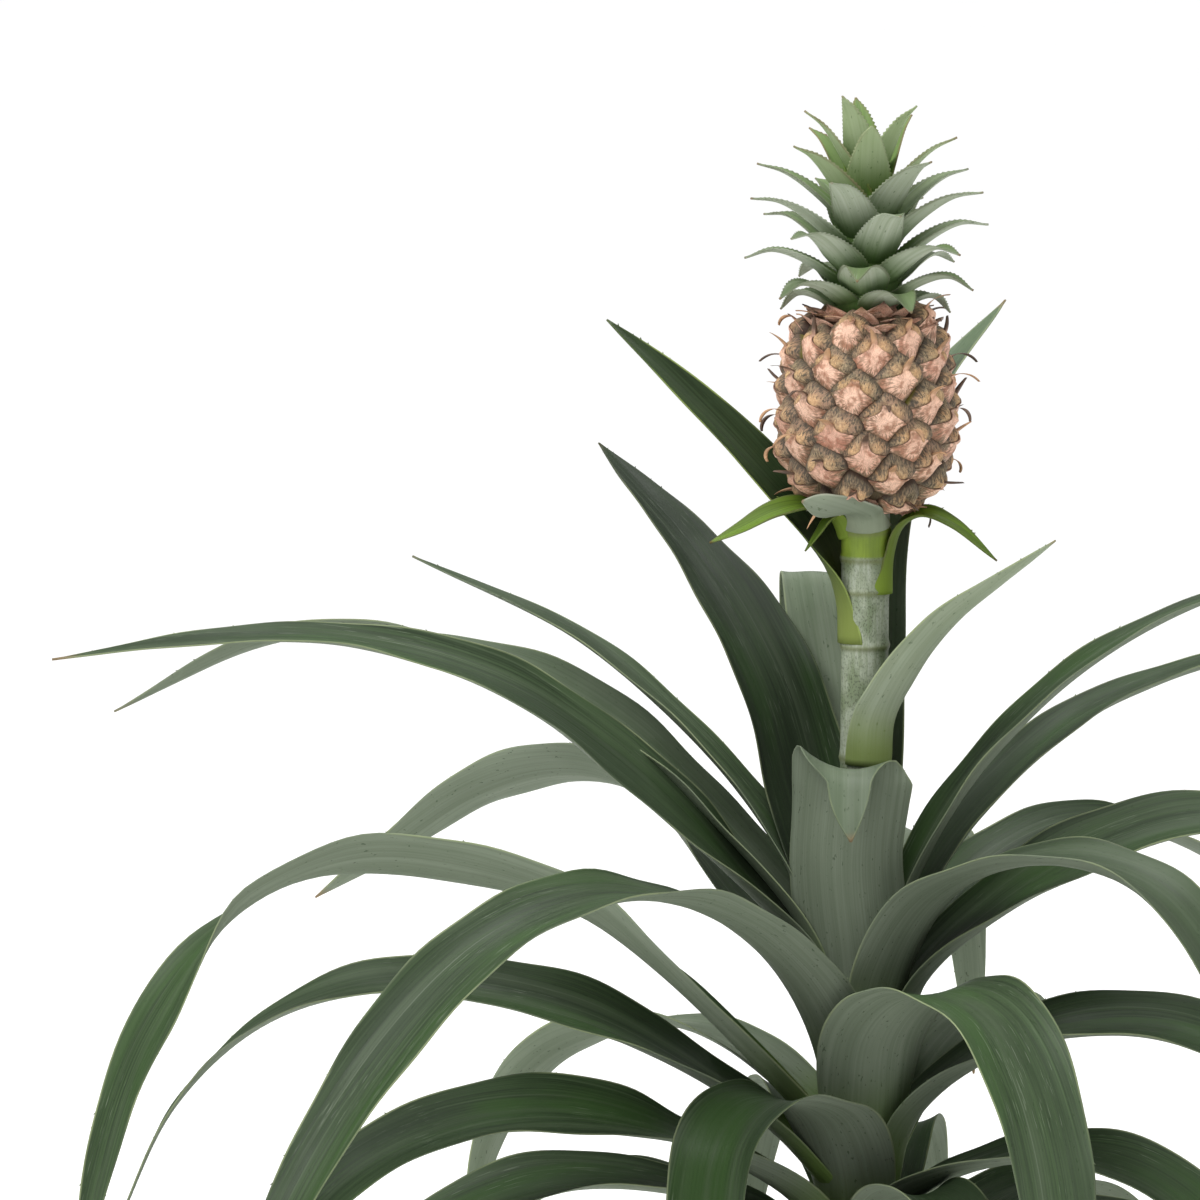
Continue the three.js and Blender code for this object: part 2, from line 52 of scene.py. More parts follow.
POT = {"height": 118, "top": 66, "base": 49, "wall": 4.5, "floor": 6, "rim_depth": 16, "rim_proud": 3}
SOIL = {"top": 104, "mound": 5, "depth": 12, "crumbs": 420}
STEM = {"bottom": 76, "radius": 12, "shoulder": 285, "stalk": 9.6}
STALK_NODES = [367, 412, 434, 447, 458]
FRUIT = {"bottom": 465, "top": 545, "core": 31.5, "eyes": 64}
CROWN = {"bottom": 545.3, "height": 58, "core": 13, "leaflets": 34, "reach": 49}
BLADE = {"thick": 2.0, "margin": 0.55, "wrap": 62, "curl": 36, "tip_curl": 20}
# The six sides of an eye: direction in degrees and distance from its middle.
EYE_SIDES = [(16, 9.6), (64, 8.1), (142, 7.3), (196, 9.6), (244, 8.1), (322, 7.3)]


def arc(az, width, *line, **more):
    """A blade's compass angle, flat width and midrib, each midrib point as (distance from the
    axis, height, sideways offset). look is how waxy and pale its upper face is, partly wax and
    partly a painted sheen, and how light the blade is as a whole, partly its own tone and partly
    painted light and shade."""
    return dict(az=az, width=width, line=line, **more)


# Rosette leaves, as in the solids.
# Each leaf's look paints part of its light: bloom greys the upper face like a sheen, and tone lightens
# or darkens the whole leaf as painted light and shade, along with the leaf's own tone.
USUAL_LOOK = (0.12, 1)
LEAVES = {
    "leaf_01_front_sheath": arc(-106, 54, (13, 262), (16, 285, -2), (21, 325, -5), (25, 352, -2),
        (30, 365, 1), (36, 364, 3), (41, 352, 4), (43, 339, 5), curl=56, outline="folded",
        look=(0.7, 1.0)),
    "leaf_02_back_fold": arc(96, 30, (13, 285), (30, 318, 1), (54, 352, 3), (76, 393, 6), (89, 419, 9),
        (100, 429, 10), (111, 420, 10), (119, 390, 10), (123, 345, 10), curl=12, look=(0.9, 1.1)),
    "leaf_03_behind_fruit": arc(64, 25, (13, 288), (15, 340), (19, 400), (28, 460), (66, 506),
        (148, 541), look=(0.4, 1.15)),
    "leaf_04_tall_left": arc(122, 50, (13, 268), (22, 306), (42, 344), (64, 384), (92, 413), (133, 442),
        (201, 477), look=(0.05, 0.55)),
    "leaf_05_narrow_left": arc(160, 30, (13, 258), (20, 286), (30, 319), (52, 350), (85, 382),
        (125, 411), (195, 440), look=(0.2, 1.1)),
    "leaf_06_thin_right": arc(8, 32, (13, 270), (18, 308), (40, 351), (81, 394), (126, 421), (175, 437),
        (235, 445)),
    "leaf_07_right_arch": arc(30, 34, (13, 260), (21, 298), (45, 332), (94, 369), (129, 383),
        (190, 394), (262, 380)),
    "leaf_08_long_left": arc(184, 42, (13, 240), (25, 285), (59, 326), (101, 366), (146, 397),
        (206, 415), (265, 416), (324, 409), twist=[(0.1, 0), (0.4, -28), (0.8, -14), (1, -10)]),
    "leaf_09_left_back": arc(166, 40, (13, 253), (22, 291), (60, 338), (104, 376), (150, 399),
        (205, 410), (250, 406), (317, 374), twist=[(0.2, 0), (0.5, -12), (0.75, 25)], look=(0.5, 1.1)),
    "leaf_10_back_left": arc(140, 42, (13, 242), (26, 273), (62, 301), (97, 328), (131, 344),
        (165, 344), (208, 330), (255, 302), (301, 275), twist=[(0.2, 0), (0.5, 38), (1, 30)],
        look=(0.12, 1.15)),
    "leaf_11_back_right_fold": arc(72, 34, (13, 246), (36, 280), (75, 306), (110, 316), (148, 298),
        (172, 256), (185, 200), look=(0.9, 1.35)),
    "leaf_12_right_back": arc(44, 40, (13, 246), (42, 290), (84, 315), (132, 324), (182, 314),
        (245, 282), (290, 236), twist=[(0.2, 0), (0.5, 12), (1, 12)]),
    "leaf_13_right_front": arc(-38, 50, (13, 238), (20, 281, -3), (37, 311), (68, 328), (106, 333),
        (140, 324), (172, 289), (200, 238), (220, 176), look=(0.3, 0.95)),
    "leaf_14_dark_right": arc(2, 46, (13, 234), (24, 274), (56, 305), (92, 326), (136, 339), (180, 332),
        (225, 301), (262, 254), twist=[(0.1, 0), (0.4, 22), (1, 14)]),
    "leaf_15_twisted_left": arc(188, 39, (13, 207), (34, 231), (83, 281), (118, 308), (163, 323),
        (207, 327), (248, 312), (287, 263), (308, 205), (320, 135),
        twist=[(0.15, 0), (0.45, 40), (0.58, 20), (0.72, -45), (1, -50)], look=(0.12, 1.15)),
    "leaf_16_wide_front_left": arc(222, 48, (13, 200), (17, 242), (35, 276), (66, 303), (105, 320),
        (150, 325), (199, 314), (249, 281), (300, 223), (335, 149),
        twist=[(0.3, 0), (0.6, -14), (1, -14)]),
    "leaf_17_front_right": arc(-64, 54, (13, 198), (18, 232, -3), (26, 257, -4), (43, 274), (75, 281),
        (108, 275), (130, 257), (148, 227), (158, 183), (164, 119), curl=28, look=(0.2, 1.2)),
    "leaf_18_left_low_arch": arc(176, 42, (13, 188), (37, 214), (80, 243), (116, 260), (163, 270),
        (205, 269), (245, 253), (280, 219), (306, 166), twist=[(0.15, 0), (0.4, -24), (0.8, 0)]),
    "leaf_19_pale_back": arc(142, 36, (13, 210), (60, 239), (92, 245), (125, 240), (159, 226),
        (180, 207), (196, 178), (208, 137), twist=[(0.2, 0), (0.6, 30), (1, 30)], look=(0.9, 1.35)),
    "leaf_20_right_low_arch": arc(-8, 46, (13, 185), (22, 220), (60, 250), (108, 260), (145, 252),
        (185, 223), (218, 176), (236, 126), twist=[(0.15, 0), (0.45, 20), (1, 12)]),
    "leaf_21_back_middle": arc(86, 40, (13, 196), (45, 240), (92, 262), (140, 252), (185, 206),
        (205, 142)),
    "leaf_22_back_right_low": arc(52, 38, (13, 194), (42, 232), (78, 249), (104, 250), (122, 230),
        (132, 192), (136, 142), look=(0.7, 1.2)),
    "leaf_23_bottom_front_left": arc(238, 50, (13, 168), (18, 201), (32, 223), (60, 236), (90, 239),
        (112, 228), (121, 200), (124, 162), (124, 108), curl=28, look=(0.05, 0.8)),
    "leaf_24_low_left": arc(200, 46, (13, 168), (36, 192), (85, 218), (134, 230), (175, 228),
        (217, 211), (252, 174), (275, 123), twist=[(0.15, 0), (0.4, -24), (1, -18)], look=(0.05, 0.8)),
    "leaf_25_back_left_low": arc(105, 40, (13, 168), (45, 198), (88, 212), (128, 198), (158, 160),
        (170, 105)),
    "leaf_26_right_bottom": arc(-30, 44, (13, 156), (20, 184), (58, 206), (106, 213), (140, 202),
        (175, 168), (200, 112), twist=[(0.2, 0), (0.5, 14)]),
    "leaf_27_front_bottom": arc(-66, 42, (13, 142), (20, 174), (42, 194), (68, 198), (95, 183),
        (112, 150), (122, 102)),
    "leaf_28_right_mid_low": arc(16, 40, (13, 138), (46, 160), (98, 171), (150, 158), (194, 122),
        (216, 72)),
    "leaf_29_left_bottom": arc(188, 44, (13, 150), (42, 178), (99, 195), (140, 193), (184, 172),
        (216, 135), (234, 88), twist=[(0.2, 0), (0.5, -18)]),
    "leaf_30_back_low": arc(78, 40, (13, 140), (45, 178), (90, 195), (136, 179), (168, 136), (180, 80)),
    "leaf_31_left_back_low": arc(158, 40, (13, 126), (52, 166), (105, 186), (158, 162), (196, 116),
        (212, 62)),
    "leaf_32_right_low": arc(40, 38, (13, 122), (48, 160), (98, 176), (150, 157), (186, 112),
        (202, 58)),
    "leaf_33_front_left_low": arc(226, 40, (13, 119), (44, 156), (92, 171), (138, 150), (170, 105),
        (186, 52)),
    "leaf_34_front_right_low": arc(-40, 38, (13, 115), (42, 148), (86, 162), (128, 144), (158, 100),
        (172, 48)),
}

STALK_LEAVES = {
    "stalk_leaf_left": arc(163, 30, (10.4, 413), (11, 428), (15, 443), (24, 459), (49, 487), (85, 521),
        (108, 540), wrap=100, clasp=1.5, grip=0.1, twist=[(0.1, 0), (0.4, -26)]),
    "stalk_leaf_right": arc(-42, 32, (10.4, 364), (12, 384), (24, 404), (43, 424), (66, 441), (95, 461),
        wrap=96, clasp=1.4),
    "bract_left": arc(196, 16, (10.4, 455), (14, 463), (24, 468), (38, 466), (52, 460), (65, 455),
        wrap=70, curl=40, twist=[(0.15, 0), (0.5, -22)]),
    "bract_right": arc(-12, 14, (10.4, 433), (11, 448), (15, 460), (23, 465), (35, 461), (53, 447),
        wrap=85, curl=40, clasp=2.3, twist=[(0.3, 0), (0.6, 22)]),
    "bract_front": arc(262, 18, (10.4, 458), (12.2, 463), (17, 466, -0.6), (25, 468, -5),
        (31, 470, -12), (35, 473, -22), wrap=85, clasp=1.7, outline="blunt",
        twist=[(0.25, 0), (0.7, 36)]),
    "bract_small": arc(205, 7.5, (10.4, 459), (12.5, 464), (16, 463), (21, 457.5), (27, 451)),
}


# --- numbers and curves
def lerp(a, b, t):
    return a + (b - a) * t


def smooth(x, low, high):
    s = np.clip((np.asarray(x, float) - low) / (high - low), 0, 1)
    return s * s * (3 - 2 * s)


def ease(x, low, high):
    return float(smooth(x, low, high))


def above_zero(x):
    return np.maximum(0, x)


OUTLINES = {
    "long": lambda t: lerp(0.78, 1, smooth(t, 0, 0.2)) * above_zero(1 - t ** 2.4) ** 0.9,
    "blunt": lambda t: lerp(1, 0.6, smooth(t, 0.2, 0.9))
    * above_zero(1 - smooth(t, 0.7, 1) ** 1.6) ** 0.5,
    "folded": lambda t: lerp(0.78, 1, smooth(t, 0, 0.3)) * lerp(1, 0.34, smooth(t, 0.72, 0.84))
    * above_zero(1 - smooth(t, 0.8, 1) ** 1.3) ** 0.5,
    "leaflet": lambda t: lerp(0.8, 1, smooth(t, 0, 0.3)) * above_zero(1 - t ** 1.6) ** 0.95,
}


def roll_at(pairs, t):
    """The roll at each t in degrees, eased between the listed (share of the length, degrees)."""
    roll = np.zeros_like(t)
    for (start, before), (end, after) in zip(pairs, pairs[1:]):
        roll = np.where(t > start, lerp(before, after, smooth(t, start, end)), roll)
    return roll


def even_curve(points, count):
    """count + 1 evenly spaced points of a centripetal Catmull-Rom curve, and the curve's length."""
    points = np.array(points, float)
    first, last = 2 * points[0] - points[1], 2 * points[-1] - points[-2]
    knots = np.vstack([first, points, last])
    steps_a_span = 80
    s = np.linspace(0, 1, steps_a_span, endpoint=False)[:, None]
    runs = []
    for p0, p1, p2, p3 in zip(knots, knots[1:], knots[2:], knots[3:]):
        d0, d1, d2 = (np.linalg.norm(b - a) ** 0.5 for a, b in ((p0, p1), (p1, p2), (p2, p3)))
        m1 = ((p1 - p0) / d0 - (p2 - p0) / (d0 + d1) + (p2 - p1) / d1) * d1
        m2 = ((p2 - p1) / d1 - (p3 - p1) / (d1 + d2) + (p3 - p2) / d2) * d1
        runs.append((2 * s**3 - 3 * s**2 + 1) * p1 + (s**3 - 2 * s**2 + s) * m1
                    + (3 * s**2 - 2 * s**3) * p2 + (s**3 - s**2) * m2)
    fine = np.vstack([*runs, points[-1:]])
    reach = np.concatenate([[0], np.cumsum(np.linalg.norm(np.diff(fine, axis=0), axis=1))])
    wanted = np.linspace(0, reach[-1], count + 1)
    even = np.stack([np.interp(wanted, reach, fine[:, k]) for k in range(3)], axis=1)
    return even, reach[-1]


def unit(v):
    return v / np.linalg.norm(v, axis=-1, keepdims=True)


def level_pair(angle):
    """The level direction at a compass angle, and the one square to it."""
    c, s = math.cos(angle), math.sin(angle)
    return np.array([c, s, 0]), np.array([-s, c, 0])


def full_circle(steps):
    return np.linspace(0, FULL_TURN, steps, endpoint=False)


def triples(a, b, c):
    """Rows of three numbers, from three arrays or numbers that fit one another."""
    return np.stack(np.broadcast_arrays(a, b, c), axis=-1).reshape(-1, 3)


# --- meshes
def put(name, data):
    """Places a mesh, light or camera in the scene."""
    made = bpy.data.objects.new(name, data)
    bpy.context.scene.collection.objects.link(made)
    return made


class Shape:
    """Gathers points, faces and what the materials read: place, part and look, each as three
    numbers a point."""

    def __init__(self):
        self.points, self.faces, self.count = [], [], 0
        self.read = {"place": [], "part": [], "look": []}

    def add(self, points, faces, place, part=(0, 0, 0), look=(0, 1, 0)):
        points = np.asarray(points, float).reshape(-1, 3)
        self.points.append(points)
        self.faces += [tuple(int(k) + self.count for k in face) for face in faces]
        for rows, value in zip(self.read.values(), (place, part, look)):
            rows.append(np.broadcast_to(np.asarray(value, float).reshape(-1, 3), points.shape))
        self.count += len(points)

    def mesh(self, name, material):
        mesh = bpy.data.meshes.new(name)
        mesh.from_pydata((np.vstack(self.points) * MM).tolist(), [], self.faces)
        for key, rows in self.read.items():
            layer = mesh.attributes.new(key, "FLOAT_VECTOR", "POINT")
            layer.data.foreach_set("vector", np.vstack(rows).astype(np.float32).ravel())
        shaped = bmesh.new()
        shaped.from_mesh(mesh)
        bmesh.ops.recalc_face_normals(shaped, faces=shaped.faces)
        shaped.to_mesh(mesh)
        shaped.free()
        mesh.shade_smooth()
        mesh.materials.append(material)
        return mesh


def tube_faces(rings, around, closed_ends=True):
    """The faces of rings of points, each closed round, with a cap on either end."""
    faces = []
    for here in range(0, (rings - 1) * around, around):
        there = here + around
        for j in range(around):
            k = (j + 1) % around
            faces.append((here + j, here + k, there + k, there + j))
    if closed_ends:
        faces += [tuple(range(around)), tuple(reversed(range(there, there + around)))]
    return faces


def lathe(shape, profile, sides, *reads):
    """Adds a profile of (radius, height) turned about the axis."""
    radius, height = np.array(profile, float).T[:, :, None]
    turn = full_circle(sides)
    points = triples(radius * np.cos(turn), radius * np.sin(turn), height)
    shape.add(points, tube_faces(len(profile), sides), points * MM, *reads)


def two_sided(shape, front, back, parts, places, look):
    """Adds a closed strip from rows of points on its two faces, which share parts and places."""
    def both(rows, mirrored):
        return np.concatenate([np.array(rows), np.array(mirrored)[:, ::-1]], axis=1)

    rings = both(front, back)
    shape.add(rings, tube_faces(len(rings), rings.shape[1]), both(places, places),
              both(parts, parts), look)


def rounded(profile, steps=5, share=0.3):
    """A profile of (radius, height) with its corners cut round."""
    out = [profile[0]]
    for before, corner, after in zip(profile, profile[1:], profile[2:]):
        before, corner, after = (np.array(p, float) for p in (before, corner, after))
        size = share * min(np.linalg.norm(before - corner), np.linalg.norm(after - corner))
        a = corner + unit(before - corner) * size
        b = corner + unit(after - corner) * size
        for s in np.linspace(0, 1, steps):
            out.append(tuple((1 - s) ** 2 * a + 2 * s * (1 - s) * corner + s * s * b))
    out.append(profile[-1])
    return out


def finish_piece(shape, name, material, slot, *nodes):
    piece = put(name, shape.mesh(name, material))
    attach(piece, "root")
    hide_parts(*nodes)


# --- blades
# Where a blade has points across its width, from one margin (-1) to the other (1).
LANES = np.array([-1, -0.975, -0.9, -0.76, -0.58, -0.4, -0.2, 0, 0.2, 0.4, 0.58, 0.76, 0.9, 0.975, 1])
LONG_WAVE, SHORT_WAVE, SLOW_WAVE = 17, 7.3, 41
SEED_STEP = 0.37


def blade(shape, leaf, stations, seed, look=(0, 1, 0), lanes=LANES, wave=0.0, saw=0.0, prickles=0.0):
    """Adds a channelled blade. wave is how much its margins ripple, saw the length of their close
    teeth, and prickles how many small spikes they carry for each 100 mm."""
    draw = np.random.default_rng(seed)
    ahead, beside = level_pair(math.radians(leaf["az"]))
    midrib = [ahead * reach + beside * sum(aside) + UP * height
              for reach, height, *aside in leaf["line"]]
    centre, length = even_curve(midrib, stations)
    t = np.linspace(0, 1, stations + 1)
    along = unit(np.gradient(centre, axis=0))
    side = np.tile(beside, (stations + 1, 1))
    side = unit(side - along * (side * along).sum(1, keepdims=True))
    up = np.cross(along, side)
    roll = np.radians(roll_at(leaf.get("twist", []), t))[:, None]
    side, up = side * np.cos(roll) + up * np.sin(roll), up * np.cos(roll) - side * np.sin(roll)

    outline = OUTLINES[leaf.get("outline", "long")](t)
    outline = outline * lerp(leaf.get("clasp", 1), 1, smooth(t, 0, leaf.get("grip", 0.16)))
    half = np.maximum(0.25, leaf["width"] / 2 * outline)
    curl = lerp(leaf.get("wrap", BLADE["wrap"]), leaf.get("curl", BLADE["curl"]), smooth(t, 0, 0.25))
    span = np.radians(lerp(curl, np.minimum(curl, BLADE["tip_curl"]), smooth(t, 0.5, 1)))
    bend = half / span
    thick = leaf.get("thick", BLADE["thick"]) * lerp(1, 0.5, t)
    phase = draw.uniform(0, FULL_TURN, 4)
    travel = t * length

    def at(u, sign, out=0.0):
        angle = u * span + np.sign(u) * out / bend
        skin = sign * lerp(thick, BLADE["margin"], abs(u) ** 1.5) / 2
        radius = bend - skin
        lift = wave * abs(u) ** 3 * half / 20 * smooth(t, 0.12, 0.3) * (
            np.sin(travel / LONG_WAVE + phase[0] + 1.3 * np.sign(u))
            + 0.6 * np.sin(travel / SHORT_WAVE + phase[1] + 2 * u))
        lift = lift + wave * 0.45 * np.sin(u * 2.4 + phase[2]) * np.sin(travel / SLOW_WAVE + phase[3])
        lift = lift * np.minimum(1, half / 6)
        return (centre + side * (radius * np.sin(angle))[:, None]
                + up * (bend - radius * np.cos(angle) + lift)[:, None])

    teeth = np.zeros(stations + 1)
    if saw:
        teeth[1::2] = saw
        teeth *= smooth(t, 0.0, 0.12) * np.minimum(1, half / 3)
    ring = [(at(u, 1), u, 1.0) for u in lanes]
    ring.append((at(1.0, 0, 0.3 + teeth), 1.0, 0.5))
    ring += [(at(u, -1), u, 0.0) for u in lanes[::-1]]
    ring.append((at(-1.0, 0, 0.3 + teeth), -1.0, 0.5))
    columns, across, face = zip(*ring)
    cross = np.array(across) * half[:, None]
    place = triples(cross * MM, (travel * MM)[:, None], seed * SEED_STEP)
    part = triples(t[:, None], face, (half[:, None] - abs(cross)) * MM)
    shape.add(np.stack(columns, axis=1), tube_faces(stations + 1, len(ring)), place, part, look)

    for hand in (-1, 1):
        for _ in range(int(prickles * length / 100)):
            where = draw.uniform(0.12, 0.97) if draw.random() < 0.6 else draw.uniform(0.8, 0.98)
            i = min(int(where * stations), stations - 1)
            root = (at(hand, 0, 0.1)[i] + at(hand, 0, 0.1)[i + 1]) / 2
            out = unit(at(hand, 0, 1.0)[i] - at(hand, 0, 0.0)[i])
            size = draw.uniform(0.7, 1.3)
            corners = [root - along[i] * 0.45 * size, root + along[i] * 0.45 * size,
                       root + up[i] * 0.25 - out * 0.1, root + (out * 0.75 + along[i] * 0.8) * size]
            shape.add(corners, [(0, 1, 2), (0, 3, 1), (1, 3, 2), (2, 3, 0)],
                      (0, where * length * MM, seed * SEED_STEP), (where, 0.5, 0.0), look)


# --- material nodes
class Graph:
    """A material's nodes. A value may be a number, a colour, a vector or another node's output."""

    def __init__(self, name):
        self.material = bpy.data.materials.new(name)
        self.material.use_nodes = True
        self.tree = self.material.node_tree
        self.tree.nodes.clear()

    def make(self, kind, values=(), **settings):
        node = self.tree.nodes.new("ShaderNode" + kind)
        for key, value in settings.items():
            setattr(node, key, value)
        for key, value in dict(values).items():
            socket = node.inputs[key]
            if isinstance(value, bpy.types.NodeSocket):
                self.tree.links.new(value, socket)
            else:
                socket.default_value = (*value, 1.0) if socket.type == "RGBA" else value
        return node

    def read(self, *names):
        return [self.make("Attribute", attribute_name=name).outputs["Vector"] for name in names]

    def split(self, vector):
        return self.make("SeparateXYZ", {0: vector}).outputs

    def math(self, operation, a, b=0.0):
        return self.make("Math", {0: a, 1: b}, operation=operation).outputs[0]

    def times(self, a, b):
        return self.math("MULTIPLY", a, b)

    def plus(self, a, b):
        return self.math("ADD", a, b)

    def size(self, a):
        return self.math("ABSOLUTE", a)

    def mix(self, factor, a, b, blend="MIX"):
        node = self.make("Mix", {0: factor, 6: a, 7: b}, data_type="RGBA", blend_type=blend)
        return node.outputs[2]

    def step(self, value, low, high, start=0.0, end=1.0):
        """From start to end as the value goes from low to high."""
        values = {"Value": value, "From Min": low, "From Max": high, "To Min": start, "To Max": end}
        return self.make("MapRange", values, interpolation_type="SMOOTHSTEP").outputs[0]

    def over(self, skin, colour, value, low, high, end=1.0, start=0.0):
        """Lays a colour over the skin, as thickly as step() says."""
        return self.mix(self.step(value, low, high, start, end), skin, colour)

    def noise(self, vector, pitch, detail=2.0, roughness=0.5, twist=0.0):
        """pitch is how fine the noise is, as one number or along each axis."""
        if isinstance(pitch, tuple):
            scaled = self.make("VectorMath", {0: vector, 1: pitch}, operation="MULTIPLY")
            vector, pitch = scaled.outputs[0], 1.0
        values = {"Vector": vector, "Scale": pitch, "Detail": detail, "Roughness": roughness,
                  "Distortion": twist}
        return self.make("TexNoise", values).outputs["Fac"]

    def bump(self, height, depth, strength=1.0, normal=None):
        values = {"Height": height, "Distance": depth, "Strength": strength}
        if normal is not None:
            values["Normal"] = normal
        return self.make("Bump", values).outputs["Normal"]

    def finish(self, colour, roughness, normal, **fixed):
        values = {"Base Color": colour, "Roughness": roughness, "Normal": normal, **fixed}
        shader = self.make("BsdfPrincipled", values)
        self.make("OutputMaterial", {"Surface": shader.outputs["BSDF"]})
        return self.material


def blade_material(name, upper, upper_deep, fresh, under, under_deep, margin, base, base_share=0.3,
                   dry=(0.2, 0.14, 0.08), gloss=0.5):
    """A leaf's skin. upper and under are its two faces, each with the darker tone of its fine
    lines; fresh is the upper face's greener patches, margin the thin edge, base the colour near
    the stem, and dry the tip."""
    g = Graph(name)
    place, part, look = g.read("place", "part", "look")
    share, face, edge = g.split(part)
    # bloom pales the upper face towards the under face: partly wax, partly painted sheen. tone is the
    # leaf's brightness: partly its own tone, partly painted light and shade.
    bloom_and_painted_sheen, tone_and_painted_light, _ = g.split(look)

    lines = g.noise(place, (1500, 14, 9), 3)
    ribs = g.noise(place, (520, 5, 9))
    bands = g.noise(place, (150, 6, 9))
    clouds = g.noise(place, (45, 22, 9), 3)
    patches = g.noise(place, (40, 8, 9), 3, twist=0.4)
    flecks = g.noise(place, (900, 320, 9), roughness=0.6)
    scratches = g.noise(place, (1900, 75, 9))

    top = g.over(upper_deep, upper, lines, 0.3, 0.7)
    top = g.over(top, fresh, patches, 0.48, 0.64, 0.75)
    top = g.over(top, upper_deep, patches, 0.5, 0.32, 0.7)
    # Grey stripes on the upper face: painted sheen.
    top = g.over(top, g.mix(0.4, upper, under_deep), bands, 0.46, 0.7, 0.45)
    top = g.over(top, under_deep, ribs, 0.6, 0.72, 0.25)
    worn = g.times(g.step(scratches, 0.63, 0.7), g.step(clouds, 0.46, 0.6, 0.0, 0.35))
    top = g.mix(worn, top, under)
    low = g.over(g.mix(0.35, under, under_deep), under, bands, 0.25, 0.7)
    low = g.over(low, under_deep, ribs, 0.35, 0.6, 0.0, 0.28)
    low = g.over(low, under_deep, lines, 0.42, 0.66, 0.22)
    low = g.over(low, upper_deep, flecks, 0.655, 0.72, 0.55)
    low = g.over(low, g.mix(0.5, upper, under), clouds, 0.35, 0.75, 0.35)
    waxy = g.mix(g.times(bloom_and_painted_sheen, g.step(clouds, 0.25, 0.7, 1.0, 0.72)), top, low)
    skin = g.over(low, waxy, face, 0.35, 0.65)

    crease_offset = 0.0052
    crease = g.size(g.math("SUBTRACT", g.size(g.split(place)[0]), crease_offset))
    crease = g.times(g.step(crease, 0.0003, 0.0), g.step(bands, 0.48, 0.6))
    skin = g.mix(g.times(crease, 0.3), skin, under)
    skin = g.over(skin, base, share, base_share, 0.02, 0.85)
    rim = g.times(g.step(edge, 0.0007, 0.0001), g.step(clouds, 0.38, 0.62, 0.1, 0.7))
    skin = g.mix(rim, skin, margin)
    old = g.times(g.step(share, 0.965, 1.0, 0.0, 0.9), g.step(clouds, 0.3, 0.55))
    # Multiplies the whole leaf by its tone, which paints part of its light and shade.
    skin = g.mix(1.0, g.mix(old, skin, dry), tone_and_painted_light, "MULTIPLY")

    rough = g.plus(g.step(face, 0.35, 0.65, 0.62, gloss), g.step(lines, 0.3, 0.7, 0.0, 0.14))
    rough = g.plus(rough, g.step(clouds, 0.35, 0.65, 0.0, 0.1))
    normal = g.bump(lines, 0.00012, 0.4, g.bump(ribs, 0.0004, 0.45))
    normal = g.bump(bands, 0.0016, 0.3, normal)
    return g.finish(skin, rough, normal, **{"Specular IOR Level": 0.15})


def stalk_material():
    """The stalk's waxy skin: place is (round, up, seed), part is (lime share, node ring, height)."""
    g = Graph("stalk_skin")
    place, part = g.read("place", "part")
    lime, ring, _ = g.split(part)
    lines = g.noise(place, (900, 60, 1), 3)
    wax = g.noise(place, (120, 60, 1), 3)
    specks = g.noise(place, (1700, 800, 1), roughness=0.65)
    skin = g.over((0.16, 0.205, 0.115), (0.36, 0.40, 0.31), wax, 0.34, 0.6)
    skin = g.over(skin, (0.18, 0.225, 0.12), lines, 0.4, 0.62, 0.45)
    dense = g.step(wax, 0.36, 0.62, 0.8, 0.3)
    skin = g.mix(g.times(g.step(specks, 0.52, 0.6), dense), skin, (0.075, 0.09, 0.05))
    fresh = g.over((0.17, 0.25, 0.02), (0.24, 0.34, 0.035), wax, 0.35, 0.65)
    fresh = g.over(fresh, (0.11, 0.17, 0.02), lines, 0.4, 0.62, 0.25)
    skin = g.mix(ring, g.mix(lime, skin, fresh), (0.13, 0.15, 0.045))
    normal = g.bump(specks, 0.0002, 0.4, g.bump(lines, 0.0003, 0.5))
    return g.finish(skin, g.step(wax, 0.3, 0.7, 0.5, 0.7), normal)


def berry_material():
    """An eye's skin: place is its own flat coordinates, part is (share of the way to the seam,
    lobe, green seam), and look starts with how ruddy it is."""
    g = Graph("fruit_eye")
    place, part, look = g.read("place", "part", "look")
    out, lobe, green = g.split(part)
    ruddy = g.split(look)[0]
    grain = g.noise(place, (900, 900, 9), 4, 0.7)
    specks = g.noise(place, (1900, 620, 9), 3, 0.65)
    patch = g.noise(place, (190, 190, 9))
    cork = g.over((0.10, 0.08, 0.045), (0.36, 0.28, 0.16), grain, 0.36, 0.6)
    cork = g.over(cork, (0.32, 0.20, 0.13), patch, 0.45, 0.7, 0.6)
    tan = g.over((0.42, 0.25, 0.11), (0.70, 0.46, 0.235), grain, 0.35, 0.65)
    skin = g.mix(g.times(g.step(lobe, 0.2, 0.95), g.step(patch, 0.25, 0.6, 0.3, 0.95)), cork, tan)
    skin = g.mix(g.times(g.step(specks, 0.53, 0.62), g.step(lobe, 1.0, 0.3, 0.3, 0.85)), skin,
                 (0.04, 0.033, 0.02))
    skin = g.mix(g.times(ruddy, 0.25), skin, (0.42, 0.2, 0.13))
    rim = g.plus(g.times(g.plus(specks, grain), 0.5), g.times(out, 0.38))
    skin = g.over(skin, (0.05, 0.042, 0.03), rim, 0.73, 0.86, 0.85)
    seam = g.mix(green, (0.04, 0.018, 0.008), (0.15, 0.135, 0.016))
    skin = g.over(skin, seam, out, 0.9, 0.97)
    return g.finish(skin, g.step(grain, 0.3, 0.7, 0.62, 0.8), g.bump(grain, 0.0005, 0.6))


